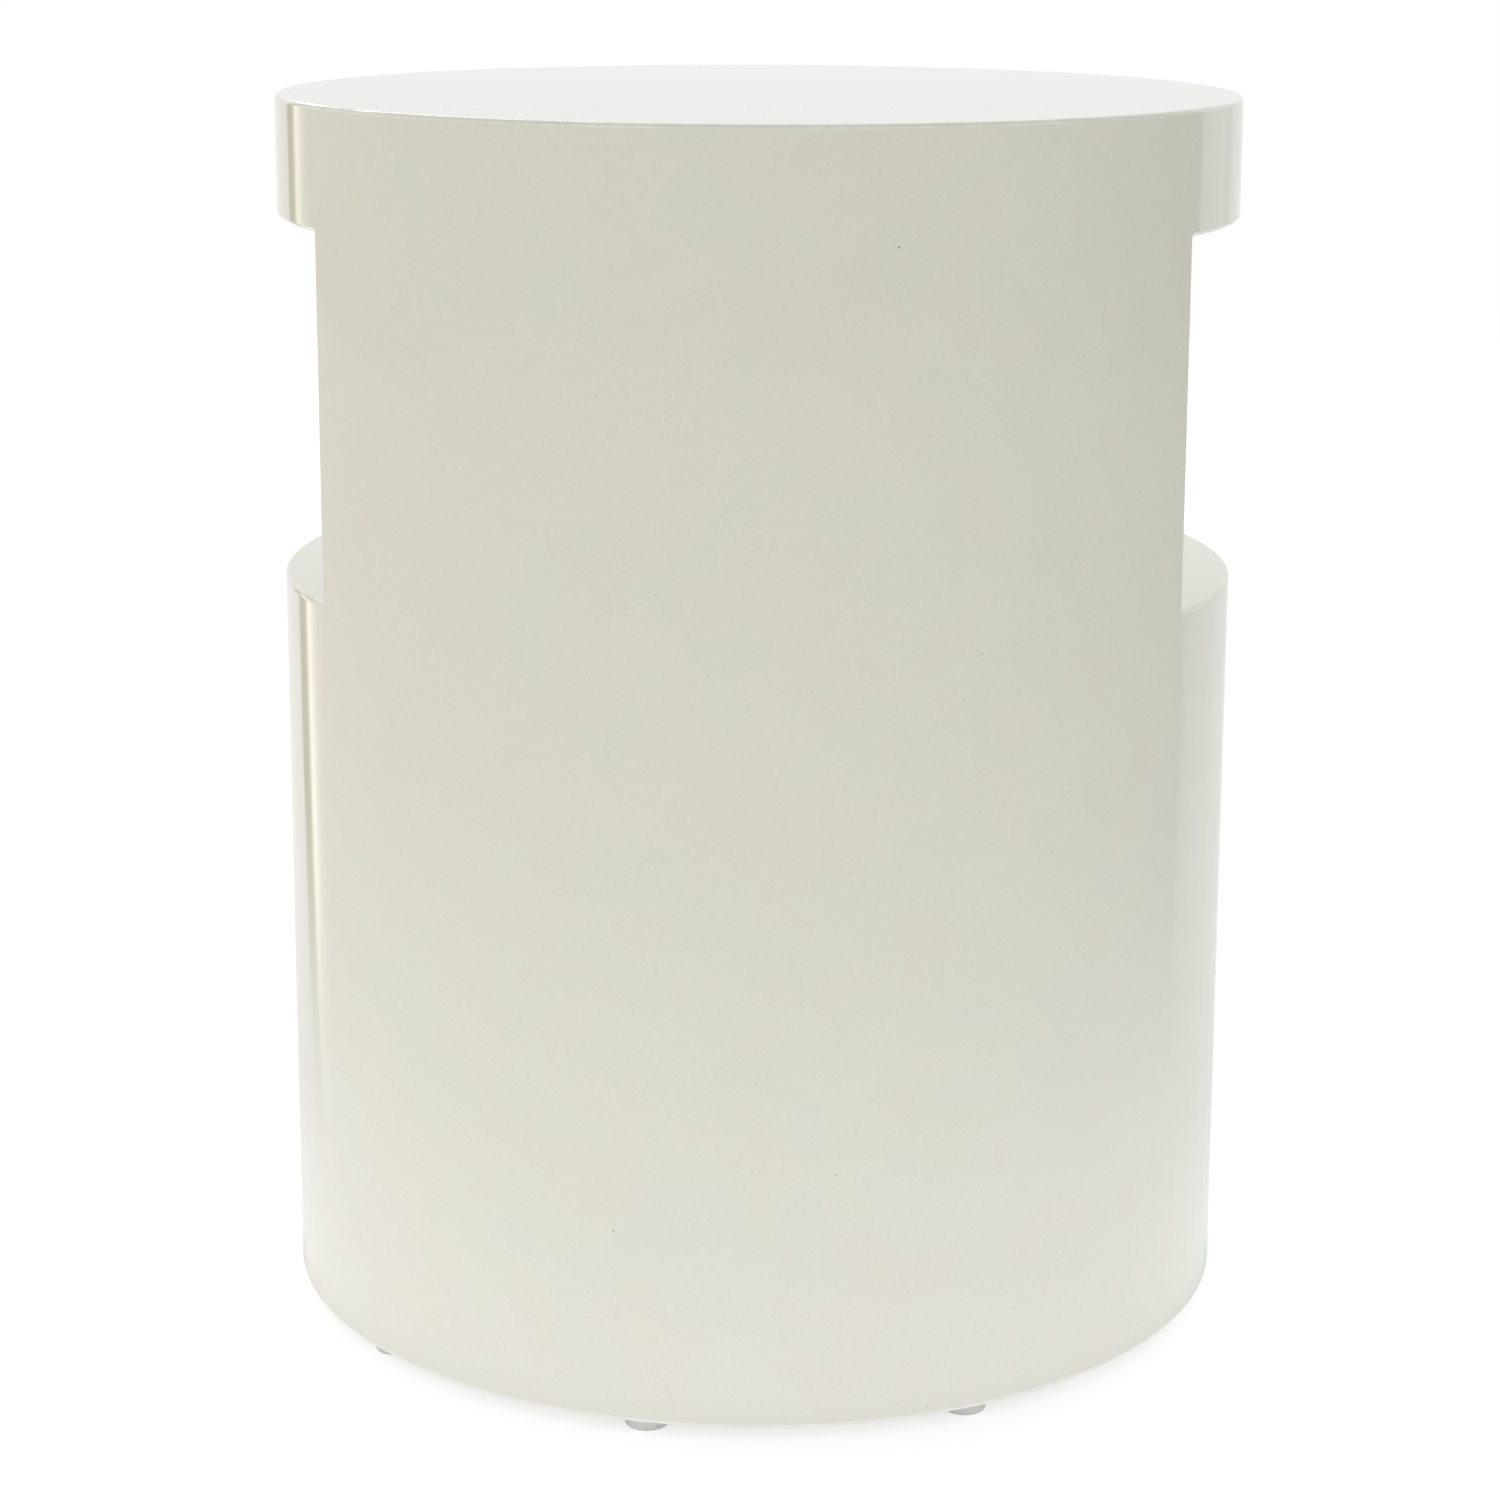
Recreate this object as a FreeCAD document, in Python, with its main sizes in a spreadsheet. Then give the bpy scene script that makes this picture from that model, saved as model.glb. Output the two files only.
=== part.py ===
import FreeCAD, Part
import math
import os
import Sketcher

# Round lacquered side table: a drum with a deep slot cut in from the back.
# The slot leaves a closed wall at the front, which carries the round top over the shelf.
# Millimetres. X runs to the right, Y to the back (the slot's mouth), Z up from the floor.
# The origin lies on the floor, under the drum's axis.

# Driving sizes, by the piece that they belong to.
SIZES = {
    # Whole table
    "overall_diameter": 457.2,
    "overall_height": 584.2,
    "top_thickness": 56.2,
    "slot_height": 170.8,
    "wall_depth": 111.2,
    "edge_rounding": 2.0,
    # Bent skin and the boards inside it
    "skin_thickness": 9.0,
    "top_board": 18.0,
    "soffit_board": 12.0,
    "shelf_board": 15.0,
    "floor_board": 15.0,
    "spine_board": 18.0,
    "rib_board": 15.0,
    "web_board": 15.0,
    "ring_width": 45.0,
    # Studs in the hollow of the front wall
    "stud_width": 32.0,
    "stud_depth": 34.0,
    "stud_inset": 90.6,
    # Cleat under the shelf
    "cleat_depth": 22.0,
    "cleat_height": 22.0,
    # Glides under the floor board
    "glide_diameter": 20.0,
    "glide_height": 7.6,
    "glide_face_diameter": 17.6,
    "glide_chamfer_height": 1.2,
    "glide_recess_diameter": 9.0,
    "glide_recess_depth": 3.4,
    "glide_inset": 16.6,
    "glide_turn": 18.15,
    "glide_count": 9,
    # Wooden dowels
    "dowel_diameter": 6.0,
    "dowel_length": 24.0,
    "dowel_bite": 9.0,
    # Screws
    "screw_diameter": 4.0,
    "screw_head_diameter": 8.0,
    "screw_head_height": 2.4,
    "floor_screw_length": 40.0,
    "stud_screw_length": 46.0,
    "web_screw_length": 50.0,
    "cleat_screw_length": 30.0,
    "glide_screw_diameter": 3.5,
    "glide_screw_head_diameter": 7.0,
    "glide_screw_head_height": 2.0,
    "glide_screw_length": 14.0,
    # Clearances
    "glue_line": 0.2,
    "fit_gap": 0.2,
    "bore_gap": 0.1,
    "end_gap": 1.0,
    "overrun": 5.0,
    "edge_search": 0.05,
}

# Sizes and places worked out from the driving sizes.
PLACES = {
    "drum_radius": "Size.overall_diameter / 2",
    "skin_inner": "drum_radius - Size.skin_thickness",
    "board_radius": "skin_inner - Size.glue_line",
    # Heights of the boards
    "floor_under": "Size.glide_height",
    "floor_top": "floor_under + Size.floor_board",
    "soffit_under": "Size.overall_height - Size.top_thickness",
    "soffit_top": "soffit_under + Size.soffit_board",
    "top_under": "Size.overall_height - Size.top_board",
    "shelf_top": "soffit_under - Size.slot_height",
    "shelf_under": "shelf_top - Size.shelf_board",
    "core_height": "top_under - soffit_top",
    "spine_height": "top_under - floor_top",
    "base_height": "shelf_under - floor_top",
    # Front wall: the spine board's two faces, then the studs in front of it
    "wall_face": "Size.wall_depth - drum_radius",
    "spine_front": "wall_face - Size.spine_board",
    "stud_front": "spine_front - Size.stud_depth",
    "stud_middle": "spine_front - Size.stud_depth / 2",
    "wall_half_width": "sqrt(skin_inner ^ 2 - wall_face ^ 2)",
    "stud_offset": "wall_half_width - Size.stud_inset",
    "web_offset": "stud_offset / 2",
    # Undersides of the ribs
    "base_rib_under": "(floor_top + shelf_under - Size.rib_board) / 2",
    "shelf_rib_under": "shelf_top - Size.rib_board",
    "slot_rib_under": "(shelf_top + soffit_under - Size.rib_board) / 2",
    "top_rib_under": "top_under - Size.rib_board",
    # Rings and webs
    "ring_inner": "board_radius - Size.ring_width",
    "ring_middle": "board_radius - Size.ring_width / 2",
    "web_outer": "web_offset + Size.web_board / 2",
    "web_inner": "web_offset - Size.web_board / 2",
    "lap_front": "sqrt(ring_inner ^ 2 - web_outer ^ 2)",
    "lap_back": "sqrt(board_radius ^ 2 - web_outer ^ 2)",
    "lap_middle": "(lap_front + lap_back) / 2",
    "web_length": "lap_back - wall_face",
    # Cleat
    "cleat_half": "web_inner - Size.fit_gap",
    "cleat_under": "shelf_under - Size.cleat_height",
    "cleat_back": "wall_face + Size.cleat_depth",
    # Glides
    "glide_circle": "drum_radius - Size.glide_inset",
    "glide_bore": "Size.glide_screw_diameter / 2 + Size.bore_gap",
}

# Where things sit along the piece that carries them, as shares of its length.
WEB_SCREW_SHARES = (0.2, 0.8)
STUD_SCREW_SHARES = (0.15, 0.85)
CLEAT_SHELF_SCREW_SHARES = (-0.6, 0.6)
CLEAT_SPINE_SCREW_SHARES = (-0.22, 0.22)
WALL_DOWEL_SHARES = (-0.68, -0.24, 0.24, 0.68)
# Turns of the top ring's dowels, in degrees from the back.
TOP_DOWEL_TURNS = (-100, -50, 0, 50, 100)

# Rotation about X that points a fastener from its head to its tip.
UPWARD = 0
BACKWARD = -90
FORWARD = 90

X_AXIS = FreeCAD.Vector(1, 0, 0)
Z_AXIS = FreeCAD.Vector(0, 0, 1)
ORIGIN = FreeCAD.Vector(0, 0, 0)

# How a sketch constraint numbers the sketch's axes, and the points of a line or an arc.
X_AXIS_INDEX = -1
Y_AXIS_INDEX = -2
START_INDEX = 1
END_INDEX = 2
CENTRE_INDEX = 3
SKETCH_ORIGIN = (X_AXIS_INDEX, START_INDEX)
# How many points of an edge are looked at to see where it lies.
EDGE_POINT_COUNT = 5

doc = FreeCAD.newDocument("side_table")


def fill_sheet(name, cells):
    """A spreadsheet with one named cell to a row."""
    sheet = doc.addObject("Spreadsheet::Sheet", name)
    for row, (alias, content) in enumerate(cells.items(), start=1):
        sheet.set(f"A{row}", alias)
        sheet.setAlias(f"B{row}", alias)
        sheet.set(f"B{row}", content)
    doc.recompute()
    return sheet


def value(expression):
    """What an expression comes to with the sizes as they stand."""
    return float(doc.Place.evalExpression(expression))


def bind(item, **sizes):
    """Bind each named property of an object to an expression."""
    for name, expression in sizes.items():
        item.setExpression(name, expression)
    return item


def put(item, x="0", y="0", z="0", turn=None):
    """Bind an object's position, and turn it about X first where a turn is given."""
    if turn is not None:
        item.Placement = FreeCAD.Placement(ORIGIN, FreeCAD.Rotation(X_AXIS, turn))
    for axis, expression in (("x", x), ("y", y), ("z", z)):
        if expression != "0":
            item.setExpression(f"Placement.Base.{axis}", expression)
    return item


def block(name, x, y, z, length, width, height):
    """A rectangular block from its low corner."""
    item = bind(doc.addObject("Part::Box", name), Length=length, Width=width, Height=height)
    return put(item, x, y, z)


def rod(name, radius, height, x="0", y="0", z="0", turn=None):
    """A plain cylinder from the middle of its first end."""
    item = bind(doc.addObject("Part::Cylinder", name), Radius=radius, Height=height)
    return put(item, x, y, z, turn)


def group(name, items):
    """Several solids that share one piece of the table's list."""
    item = doc.addObject("Part::Compound", name)
    item.Links = items
    return item


def common(name, first, second):
    """What two solids share."""
    item = doc.addObject("Part::Common", name)
    item.Base = first
    item.Tool = second
    return item


def cut(name, base, *tools):
    """A solid with tools taken out of it, one after another."""
    for step, tool in enumerate(tools, start=1):
        item = doc.addObject("Part::Cut", name if step == len(tools) else f"{name}_step")
        item.Base = base
        item.Tool = tool
        base = item
    return base


def origin_part(body, role):
    """A body's own origin plane or axis."""
    return next(part for part in body.Origin.OriginFeatures if part.Role == role)


def sketch_on(body, name, role):
    """An empty sketch on one of a body's origin planes."""
    sketch = body.newObject("Sketcher::SketchObject", name)
    sketch.AttachmentSupport = [(origin_part(body, role), "")]
    sketch.MapMode = "FlatFace"
    return sketch


def tie(sketch, kind, elements, name, expression):
    """Add a dimension to a sketch and bind it to an expression."""
    index = sketch.addConstraint(Sketcher.Constraint(kind, *elements, value(expression)))
    sketch.renameConstraint(index, name)
    sketch.setExpression(f"Constraints.{name}", expression)


def tie_point(sketch, point, name, across, up):
    """Hold one point of a sketch at two bound distances from the sketch's origin."""
    for kind, axis, letter, expression in (
        ("DistanceX", Y_AXIS_INDEX, "x", across),
        ("DistanceY", X_AXIS_INDEX, "y", up),
    ):
        if expression == "0":
            sketch.addConstraint(Sketcher.Constraint("PointOnObject", *point, axis))
        else:
            tie(sketch, kind, (*SKETCH_ORIGIN, *point), f"{name}_{letter}", expression)


def draw_polygon(sketch, name, points):
    """A closed outline of straight lines, with each corner at two bound distances."""
    corners = [FreeCAD.Vector(value(across), value(up), 0) for across, up in points]
    lines = []
    for start, end in zip(corners, corners[1:] + corners[:1]):
        lines.append(sketch.addGeometry(Part.LineSegment(start, end)))
    for line, following in zip(lines, lines[1:] + lines[:1]):
        sketch.addConstraint(Sketcher.Constraint("Coincident", line, END_INDEX, following, START_INDEX))
    for number, (line, (across, up)) in enumerate(zip(lines, points), start=1):
        tie_point(sketch, (line, START_INDEX), f"{name}_{number}", across, up)


def draw_circle(sketch, name, radius, across="0", up="0"):
    """A circle with a bound radius and centre."""
    centre = FreeCAD.Vector(value(across), value(up), 0)
    curve = sketch.addGeometry(Part.Circle(centre, Z_AXIS, value(radius)))
    tie(sketch, "Radius", (curve,), f"{name}_radius", radius)
    tie_point(sketch, (curve, CENTRE_INDEX), name, across, up)


def draw_segment(sketch, radius, chord, behind):
    """A disc cut along a chord parallel to X, keeping the side behind it or before it."""
    low_turn = math.asin(value(chord) / value(radius))
    turns = (low_turn, math.pi - low_turn) if behind else (math.pi - low_turn, math.tau + low_turn)
    arc = Part.ArcOfCircle(Part.Circle(ORIGIN, Z_AXIS, value(radius)), *turns)
    curve = sketch.addGeometry(arc)
    line = sketch.addGeometry(Part.LineSegment(arc.EndPoint, arc.StartPoint))
    sketch.addConstraint(Sketcher.Constraint("Coincident", curve, CENTRE_INDEX, *SKETCH_ORIGIN))
    sketch.addConstraint(Sketcher.Constraint("Coincident", curve, END_INDEX, line, START_INDEX))
    sketch.addConstraint(Sketcher.Constraint("Coincident", line, END_INDEX, curve, START_INDEX))
    sketch.addConstraint(Sketcher.Constraint("Horizontal", line))
    tie(sketch, "Radius", (curve,), "radius", radius)
    tie(sketch, "DistanceY", (*SKETCH_ORIGIN, line, START_INDEX), "chord", chord)


def pad(body, name, sketch, length):
    """Raise a sketch into a board of the bound thickness."""
    feature = body.newObject("PartDesign::Pad", name)
    feature.Profile = sketch
    feature.setExpression("Length", length)
    sketch.Visibility = False
    doc.recompute()
    return feature


def pocket(body, name, sketch, midplane=False):
    """Cut a sketch right through a body, and make sure that it took material away."""
    before = body.Shape.Volume
    feature = body.newObject("PartDesign::Pocket", name)
    feature.Profile = sketch
    feature.Type = "ThroughAll"
    feature.Midplane = midplane
    feature.Reversed = not midplane
    doc.recompute()
    if not body.Shape.Volume < before:
        raise RuntimeError(f"{name} cuts nothing")
    return feature


def fillet(body, name, base, edges, radius):
    """Round the given edges of a body's last feature."""
    feature = body.newObject("PartDesign::Fillet", name)
    feature.Base = (base, edges)
    feature.setExpression("Radius", radius)
    doc.recompute()
    return feature


def polar_pattern(body, name, original, count):
    """Repeat a feature round the body's own vertical axis."""
    feature = body.newObject("PartDesign::PolarPattern", name)
    feature.Originals = [original]
    feature.Axis = (origin_part(body, "Z_Axis"), [""])
    feature.Angle = 360
    feature.setExpression("Occurrences", count)
    body.Tip = feature
    doc.recompute()
    return feature


def is_near(length, expression):
    """Whether a measured length is the expression's value, but for rounding."""
    return abs(length - value(expression)) < value("Size.edge_search")


def is_straight(edge):
    """Whether an edge is a straight line."""
    return isinstance(edge.Curve, (Part.Line, Part.LineSegment))


def edges_on_drum(shape, keep):
    """Names of the edges that lie on the drum's outer face and pass the keep test."""
    names = []
    for number, edge in enumerate(shape.Edges, start=1):
        points = edge.discretize(EDGE_POINT_COUNT)
        on_face = all(is_near(math.hypot(point.x, point.y), "Place.drum_radius") for point in points)
        if on_face and keep(edge, points[0]):
            names.append(f"Edge{number}")
    return names


def countersunk(name, length, x, y, z, turn, gap="0"):
    """A countersunk screw from its head's face, or its bore where a gap is given."""
    shank = f"Size.screw_diameter / 2 + {gap}"
    head = doc.addObject("Part::Cone", f"{name}_head")
    bind(head, Radius1=f"Size.screw_head_diameter / 2 + {gap}", Radius2=shank)
    bind(head, Height="Size.screw_head_height")
    body = rod(f"{name}_shank", shank, length if gap == "0" else f"{length} + Size.end_gap")
    screw = doc.addObject("Part::Fuse", name)
    screw.Base = head
    screw.Tool = body
    return put(screw, x, y, z, turn)


def screw_set(name, length, spots, turn):
    """A group of equal countersunk screws and the group of bores that take them."""
    screws = []
    bores = []
    for number, (x, y, z) in enumerate(spots, start=1):
        screws.append(countersunk(f"{name}_{number}", length, x, y, z, turn))
        bores.append(countersunk(f"{name}_bore_{number}", length, x, y, z, turn, "Size.bore_gap"))
    return group(name, screws), group(f"{name}_bores", bores)


def dowel_set(name, spots, turn):
    """A group of dowels and their bores; each spot is where the dowel crosses its joint."""
    dowels = []
    bores = []
    shift = "- Size.dowel_bite" if turn == UPWARD else "+ Size.dowel_bite"
    for number, (x, y, z) in enumerate(spots, start=1):
        if turn == UPWARD:
            low = f"{z} + Size.dowel_bite - Size.dowel_length"
            start, bore_start = (x, y, low), (x, y, f"{low} - Size.end_gap")
        else:
            low = f"{y} - Size.dowel_bite"
            start, bore_start = (x, low, z), (x, f"{low} - Size.end_gap", z)
        dowels.append(rod(f"{name}_{number}", "Size.dowel_diameter / 2", "Size.dowel_length",
                          *start, turn))
        bores.append(rod(f"{name}_bore_{number}", "Size.dowel_diameter / 2 + Size.bore_gap",
                         "Size.dowel_length + 2 * Size.end_gap", *bore_start, turn))
    return group(name, dowels), group(f"{name}_bores", bores)


def stud_places():
    """The studs' names and their middles along X."""
    return (("left", "-Place.stud_offset"), ("centre", "0"), ("right", "Place.stud_offset"))


def make_drum_skin():
    """The bent skin: a tube with the slot cut in from the back, its edges rounded."""
    body = doc.addObject("PartDesign::Body", "skin_body")
    section = sketch_on(body, "skin_section", "XY_Plane")
    draw_circle(section, "outside", "Place.drum_radius")
    draw_circle(section, "inside", "Place.skin_inner")
    pad(body, "skin_tube", section, "Place.top_under - Place.floor_under")
    slot = sketch_on(body, "slot_outline", "YZ_Plane")
    low = "Place.shelf_top - Place.floor_under"
    high = "Place.soffit_under - Place.floor_under"
    reach = "Place.drum_radius + Size.overrun"
    corners = (("Place.wall_face", low), (reach, low), (reach, high), ("Place.wall_face", high))
    draw_polygon(slot, "slot", corners)
    opened = pocket(body, "slot_cut", slot, midplane=True)

    def is_rim(edge, point):
        if is_straight(edge):
            return is_near(point.y, "Place.wall_face")
        return not is_near(point.z, "Place.top_under - Place.floor_under")

    rims = edges_on_drum(opened.Shape, is_rim)
    fillet(body, "skin_rounding", opened, rims, "Size.edge_rounding")
    return put(body, z="Place.floor_under")


def make_top_board():
    """The round top, laid over the skin, with its upper edge rounded."""
    body = doc.addObject("PartDesign::Body", "top_body")
    outline = sketch_on(body, "top_outline", "XY_Plane")
    draw_circle(outline, "rim", "Place.drum_radius")
    disc = pad(body, "top_disc", outline, "Size.top_board")

    def is_rim(edge, point):
        return not is_straight(edge) and is_near(point.z, "Size.top_board")

    fillet(body, "top_rounding", disc, edges_on_drum(disc.Shape, is_rim), "Size.edge_rounding")
    return put(body, z="Place.top_under")


def make_floor_board():
    """The round bottom board, with a ring of bores for the glides' screws."""
    body = doc.addObject("PartDesign::Body", "floor_body")
    outline = sketch_on(body, "floor_outline", "XY_Plane")
    draw_circle(outline, "rim", "Place.board_radius")
    pad(body, "floor_disc", outline, "Size.floor_board")
    hole = sketch_on(body, "glide_bore_outline", "XY_Plane")
    across = "Place.glide_circle * cos(Size.glide_turn * 1 deg)"
    back = "Place.glide_circle * sin(Size.glide_turn * 1 deg)"
    draw_circle(hole, "bore", "Place.glide_bore", across, back)
    first = pocket(body, "glide_bore_cut", hole)
    polar_pattern(body, "glide_bore_ring", first, "Size.glide_count")
    return put(body, z="Place.floor_under")


def make_segment_board(name, chord, thickness, under, behind=True):
    """A round board cut straight along the front wall, on one side of it."""
    body = doc.addObject("PartDesign::Body", name)
    outline = sketch_on(body, f"{name}_outline", "XY_Plane")
    draw_segment(outline, "Place.board_radius", chord, behind)
    pad(body, f"{name}_pad", outline, thickness)
    return put(body, z=under)


def make_spine_rib(name, under):
    """A half-moon rib before the spine board, notched round the three studs."""
    body = make_segment_board(f"{name}_body", "Place.spine_front", "Size.rib_board", under, False)
    notches = sketch_on(body, f"{name}_notches", "XY_Plane")
    half = "(Size.stud_width / 2 + Size.fit_gap)"
    front = "Place.stud_front - Size.fit_gap"
    back = "Place.spine_front + Size.overrun"
    for stud, middle in stud_places():
        left, right = f"{middle} - {half}", f"{middle} + {half}"
        corners = ((left, front), (right, front), (right, back), (left, back))
        draw_polygon(notches, stud, corners)
    pocket(body, f"{name}_notch_cut", notches)
    return body


def make_ring(name, thickness, under):
    """A horseshoe rib behind the spine board, against the skin."""
    disc = make_segment_board(f"{name}_body", "Place.wall_face", thickness, under)
    middle = rod(f"{name}_middle", "Place.ring_inner", thickness, z=under)
    return cut(f"{name}_ring", disc, middle)


def make_web(name, middle, radius, thickness, under):
    """An upright board that runs back from the spine board to a round face."""
    board = block(f"{name}_board", f"{middle} - Size.web_board / 2", "Place.wall_face", under,
                  "Size.web_board", "Place.drum_radius - Place.wall_face", thickness)
    return common(f"{name}_blank", board, rod(f"{name}_round", radius, thickness, z=under))


def make_glides():
    """The ring of turned glides, each with a recess for its screw's head."""
    body = doc.addObject("PartDesign::Body", "glides")
    profile = sketch_on(body, "glide_profile", "XZ_Plane")

    def at(radius, height):
        return f"Place.glide_circle + {radius}", height

    points = (
        at("Place.glide_bore", "Size.glide_recess_depth"),
        at("Size.glide_recess_diameter / 2", "Size.glide_recess_depth"),
        at("Size.glide_recess_diameter / 2", "0"),
        at("Size.glide_face_diameter / 2", "0"),
        at("Size.glide_diameter / 2", "Size.glide_chamfer_height"),
        at("Size.glide_diameter / 2", "Size.glide_height"),
        at("Place.glide_bore", "Size.glide_height"),
    )
    draw_polygon(profile, "glide", points)
    top = FreeCAD.Vector(value("Place.glide_circle"), value("Size.glide_height"), 0)
    foot = FreeCAD.Vector(top.x, 0, 0)
    axis = profile.addGeometry(Part.LineSegment(foot, top), True)
    tie_point(profile, (axis, START_INDEX), "axis_foot", "Place.glide_circle", "0")
    tie_point(profile, (axis, END_INDEX), "axis_top", "Place.glide_circle", "Size.glide_height")
    doc.recompute()
    turned = body.newObject("PartDesign::Revolution", "glide_turned")
    turned.Profile = profile
    turned.ReferenceAxis = (profile, ["Axis0"])
    turned.Angle = 360
    doc.recompute()
    polar_pattern(body, "glide_ring", turned, "Size.glide_count")
    body.Placement = FreeCAD.Placement(ORIGIN, FreeCAD.Rotation(Z_AXIS, 0))
    body.setExpression("Placement.Rotation.Angle", "Size.glide_turn * 1 deg")
    return body


def make_glide_screws():
    """One flat-headed screw up through each glide into the floor board."""
    screws = []
    for number in range(int(value("Size.glide_count"))):
        turn = f"(Size.glide_turn + {number} * 360 / Size.glide_count) * 1 deg"
        name = f"glide_screw_{number + 1}"
        x, y = f"Place.glide_circle * cos({turn})", f"Place.glide_circle * sin({turn})"
        head = rod(f"{name}_head", "Size.glide_screw_head_diameter / 2",
                   "Size.glide_screw_head_height", z="-Size.glide_screw_head_height")
        shank = rod(f"{name}_shank", "Size.glide_screw_diameter / 2", "Size.glide_screw_length")
        screw = doc.addObject("Part::Fuse", name)
        screw.Base = head
        screw.Tool = shank
        screws.append(put(screw, x, y, "Size.glide_recess_depth"))
    return group("glide_screws", screws)


def along(start, length, share):
    """The place at a share of a length from its start."""
    return f"{start} + {share} * {length}"


def build_table():
    """Every piece of the table by its name, the hidden ones included."""
    pieces = {}
    webs = {"left": "-Place.web_offset", "right": "Place.web_offset"}
    wall_spots = [f"{share} * Place.wall_half_width" for share in WALL_DOWEL_SHARES]

    # Fasteners first, because each one bores the boards that it joins.
    floor_spots = [(x, "Place.stud_middle", "Place.floor_under") for _, x in stud_places()]
    for x in webs.values():
        for share in WEB_SCREW_SHARES:
            y = along("Place.wall_face", "Place.web_length", share)
            floor_spots.append((x, y, "Place.floor_under"))
    pieces["floor_screws"], floor_bores = screw_set(
        "floor_screws", "Size.floor_screw_length", floor_spots, UPWARD)

    stud_spots = []
    for _, x in stud_places():
        for share in STUD_SCREW_SHARES:
            z = along("Place.floor_top", "Place.spine_height", share)
            stud_spots.append((x, "Place.stud_front", z))
    pieces["stud_screws"], stud_bores = screw_set(
        "stud_screws", "Size.stud_screw_length", stud_spots, BACKWARD)

    web_spots = []
    for x in webs.values():
        for share in WEB_SCREW_SHARES:
            z = along("Place.floor_top", "Place.base_height", share)
            web_spots.append((x, "Place.spine_front", z))
    pieces["web_screws"], web_bores = screw_set(
        "web_screws", "Size.web_screw_length", web_spots, BACKWARD)

    cleat_middle = "Place.wall_face + Size.cleat_depth / 2"
    rising = [(f"{share} * Place.cleat_half", cleat_middle, "Place.cleat_under")
              for share in CLEAT_SHELF_SCREW_SHARES]
    level = [(f"{share} * Place.cleat_half", "Place.cleat_back",
              "Place.cleat_under + Size.cleat_height / 2")
             for share in CLEAT_SPINE_SCREW_SHARES]
    rising_screws, rising_bores = screw_set(
        "cleat_rising_screws", "Size.cleat_screw_length", rising, UPWARD)
    level_screws, level_bores = screw_set(
        "cleat_level_screws", "Size.cleat_screw_length", level, FORWARD)
    pieces["cleat_screws"] = group("cleat_screws", [rising_screws, level_screws])

    shelf_middle = "Place.shelf_under + Size.shelf_board / 2"
    pieces["shelf_dowels"], shelf_bores = dowel_set(
        "shelf_dowels", [(x, "Place.wall_face", shelf_middle) for x in wall_spots], BACKWARD)
    soffit_middle = "Place.soffit_under + Size.soffit_board / 2"
    pieces["soffit_dowels"], soffit_bores = dowel_set(
        "soffit_dowels", [(x, "Place.wall_face", soffit_middle) for x in wall_spots], BACKWARD)
    top_spots = [(x, "Place.stud_middle", "Place.top_under") for _, x in stud_places()]
    for turn in TOP_DOWEL_TURNS:
        x = f"Place.ring_middle * sin({turn} deg)"
        y = f"Place.ring_middle * cos({turn} deg)"
        top_spots.append((x, y, "Place.top_under"))
    pieces["top_dowels"], top_bores = dowel_set("top_dowels", top_spots, UPWARD)

    # Outer shell
    pieces["drum_skin"] = make_drum_skin()
    pieces["top_panel"] = cut("top_panel", make_top_board(), top_bores)
    soffit = make_segment_board("soffit_body", "Place.wall_face", "Size.soffit_board",
                                "Place.soffit_under")
    pieces["soffit_panel"] = cut("soffit_panel", soffit, soffit_bores)
    shelf = make_segment_board("shelf_body", "Place.wall_face", "Size.shelf_board",
                               "Place.shelf_under")
    pieces["shelf_panel"] = cut("shelf_panel", shelf, shelf_bores, rising_bores)
    pieces["base_floor"] = cut("base_floor", make_floor_board(), floor_bores)

    # Front wall: the spine board, its studs and the half-moon ribs between them and the skin
    spine = block("spine_board_blank", "-Place.drum_radius", "Place.spine_front",
                  "Place.floor_top", "2 * Place.drum_radius", "Size.spine_board",
                  "Place.spine_height")
    spine_round = rod("spine_round", "Place.board_radius", "Place.spine_height",
                      z="Place.floor_top")
    pieces["spine_panel"] = cut("spine_panel", common("spine_blank", spine, spine_round),
                                shelf_bores, soffit_bores, stud_bores, web_bores, level_bores)
    for side, middle in stud_places():
        stud = block(f"stud_{side}_blank", f"{middle} - Size.stud_width / 2", "Place.stud_front",
                     "Place.floor_top", "Size.stud_width", "Size.stud_depth",
                     "Place.spine_height")
        name = f"spine_stud_{side}"
        pieces[name] = cut(name, stud, floor_bores, stud_bores, top_bores)
    for level_name in ("base", "shelf", "slot", "top"):
        name = f"spine_rib_{level_name}"
        pieces[name] = make_spine_rib(name, f"Place.{level_name}_rib_under")

    # Base: a horseshoe rib lapped with two webs that carry the shelf
    laps = []
    for side, middle in webs.items():
        laps.append(block(f"ring_lap_{side}", f"{middle} - Size.web_board / 2 - Size.fit_gap",
                          "Place.lap_front - Size.overrun", "Place.base_rib_under",
                          "Size.web_board + 2 * Size.fit_gap",
                          "Place.lap_middle - Place.lap_front + Size.overrun",
                          "Size.rib_board"))
    base_ring = make_ring("base_ring", "Size.rib_board", "Place.base_rib_under")
    pieces["base_ring_rib"] = cut("base_ring_rib", base_ring, group("ring_laps", laps))
    for side, middle in webs.items():
        name = f"base_web_{side}"
        blank = make_web(name, middle, "Place.board_radius", "Place.base_height",
                         "Place.floor_top")
        slot = block(f"{name}_lap", f"{middle} - Size.web_board",
                     "Place.lap_middle - Size.fit_gap",
                     "Place.base_rib_under - Size.fit_gap", "2 * Size.web_board",
                     "Place.drum_radius - Place.lap_middle",
                     "Size.rib_board + 2 * Size.fit_gap")
        pieces[name] = cut(name, blank, slot, floor_bores, web_bores)
    cleat = block("cleat_blank", "-Place.cleat_half", "Place.wall_face", "Place.cleat_under",
                  "2 * Place.cleat_half", "Size.cleat_depth", "Size.cleat_height")
    pieces["shelf_cleat"] = cut("shelf_cleat", cleat, rising_bores, level_bores)

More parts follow.
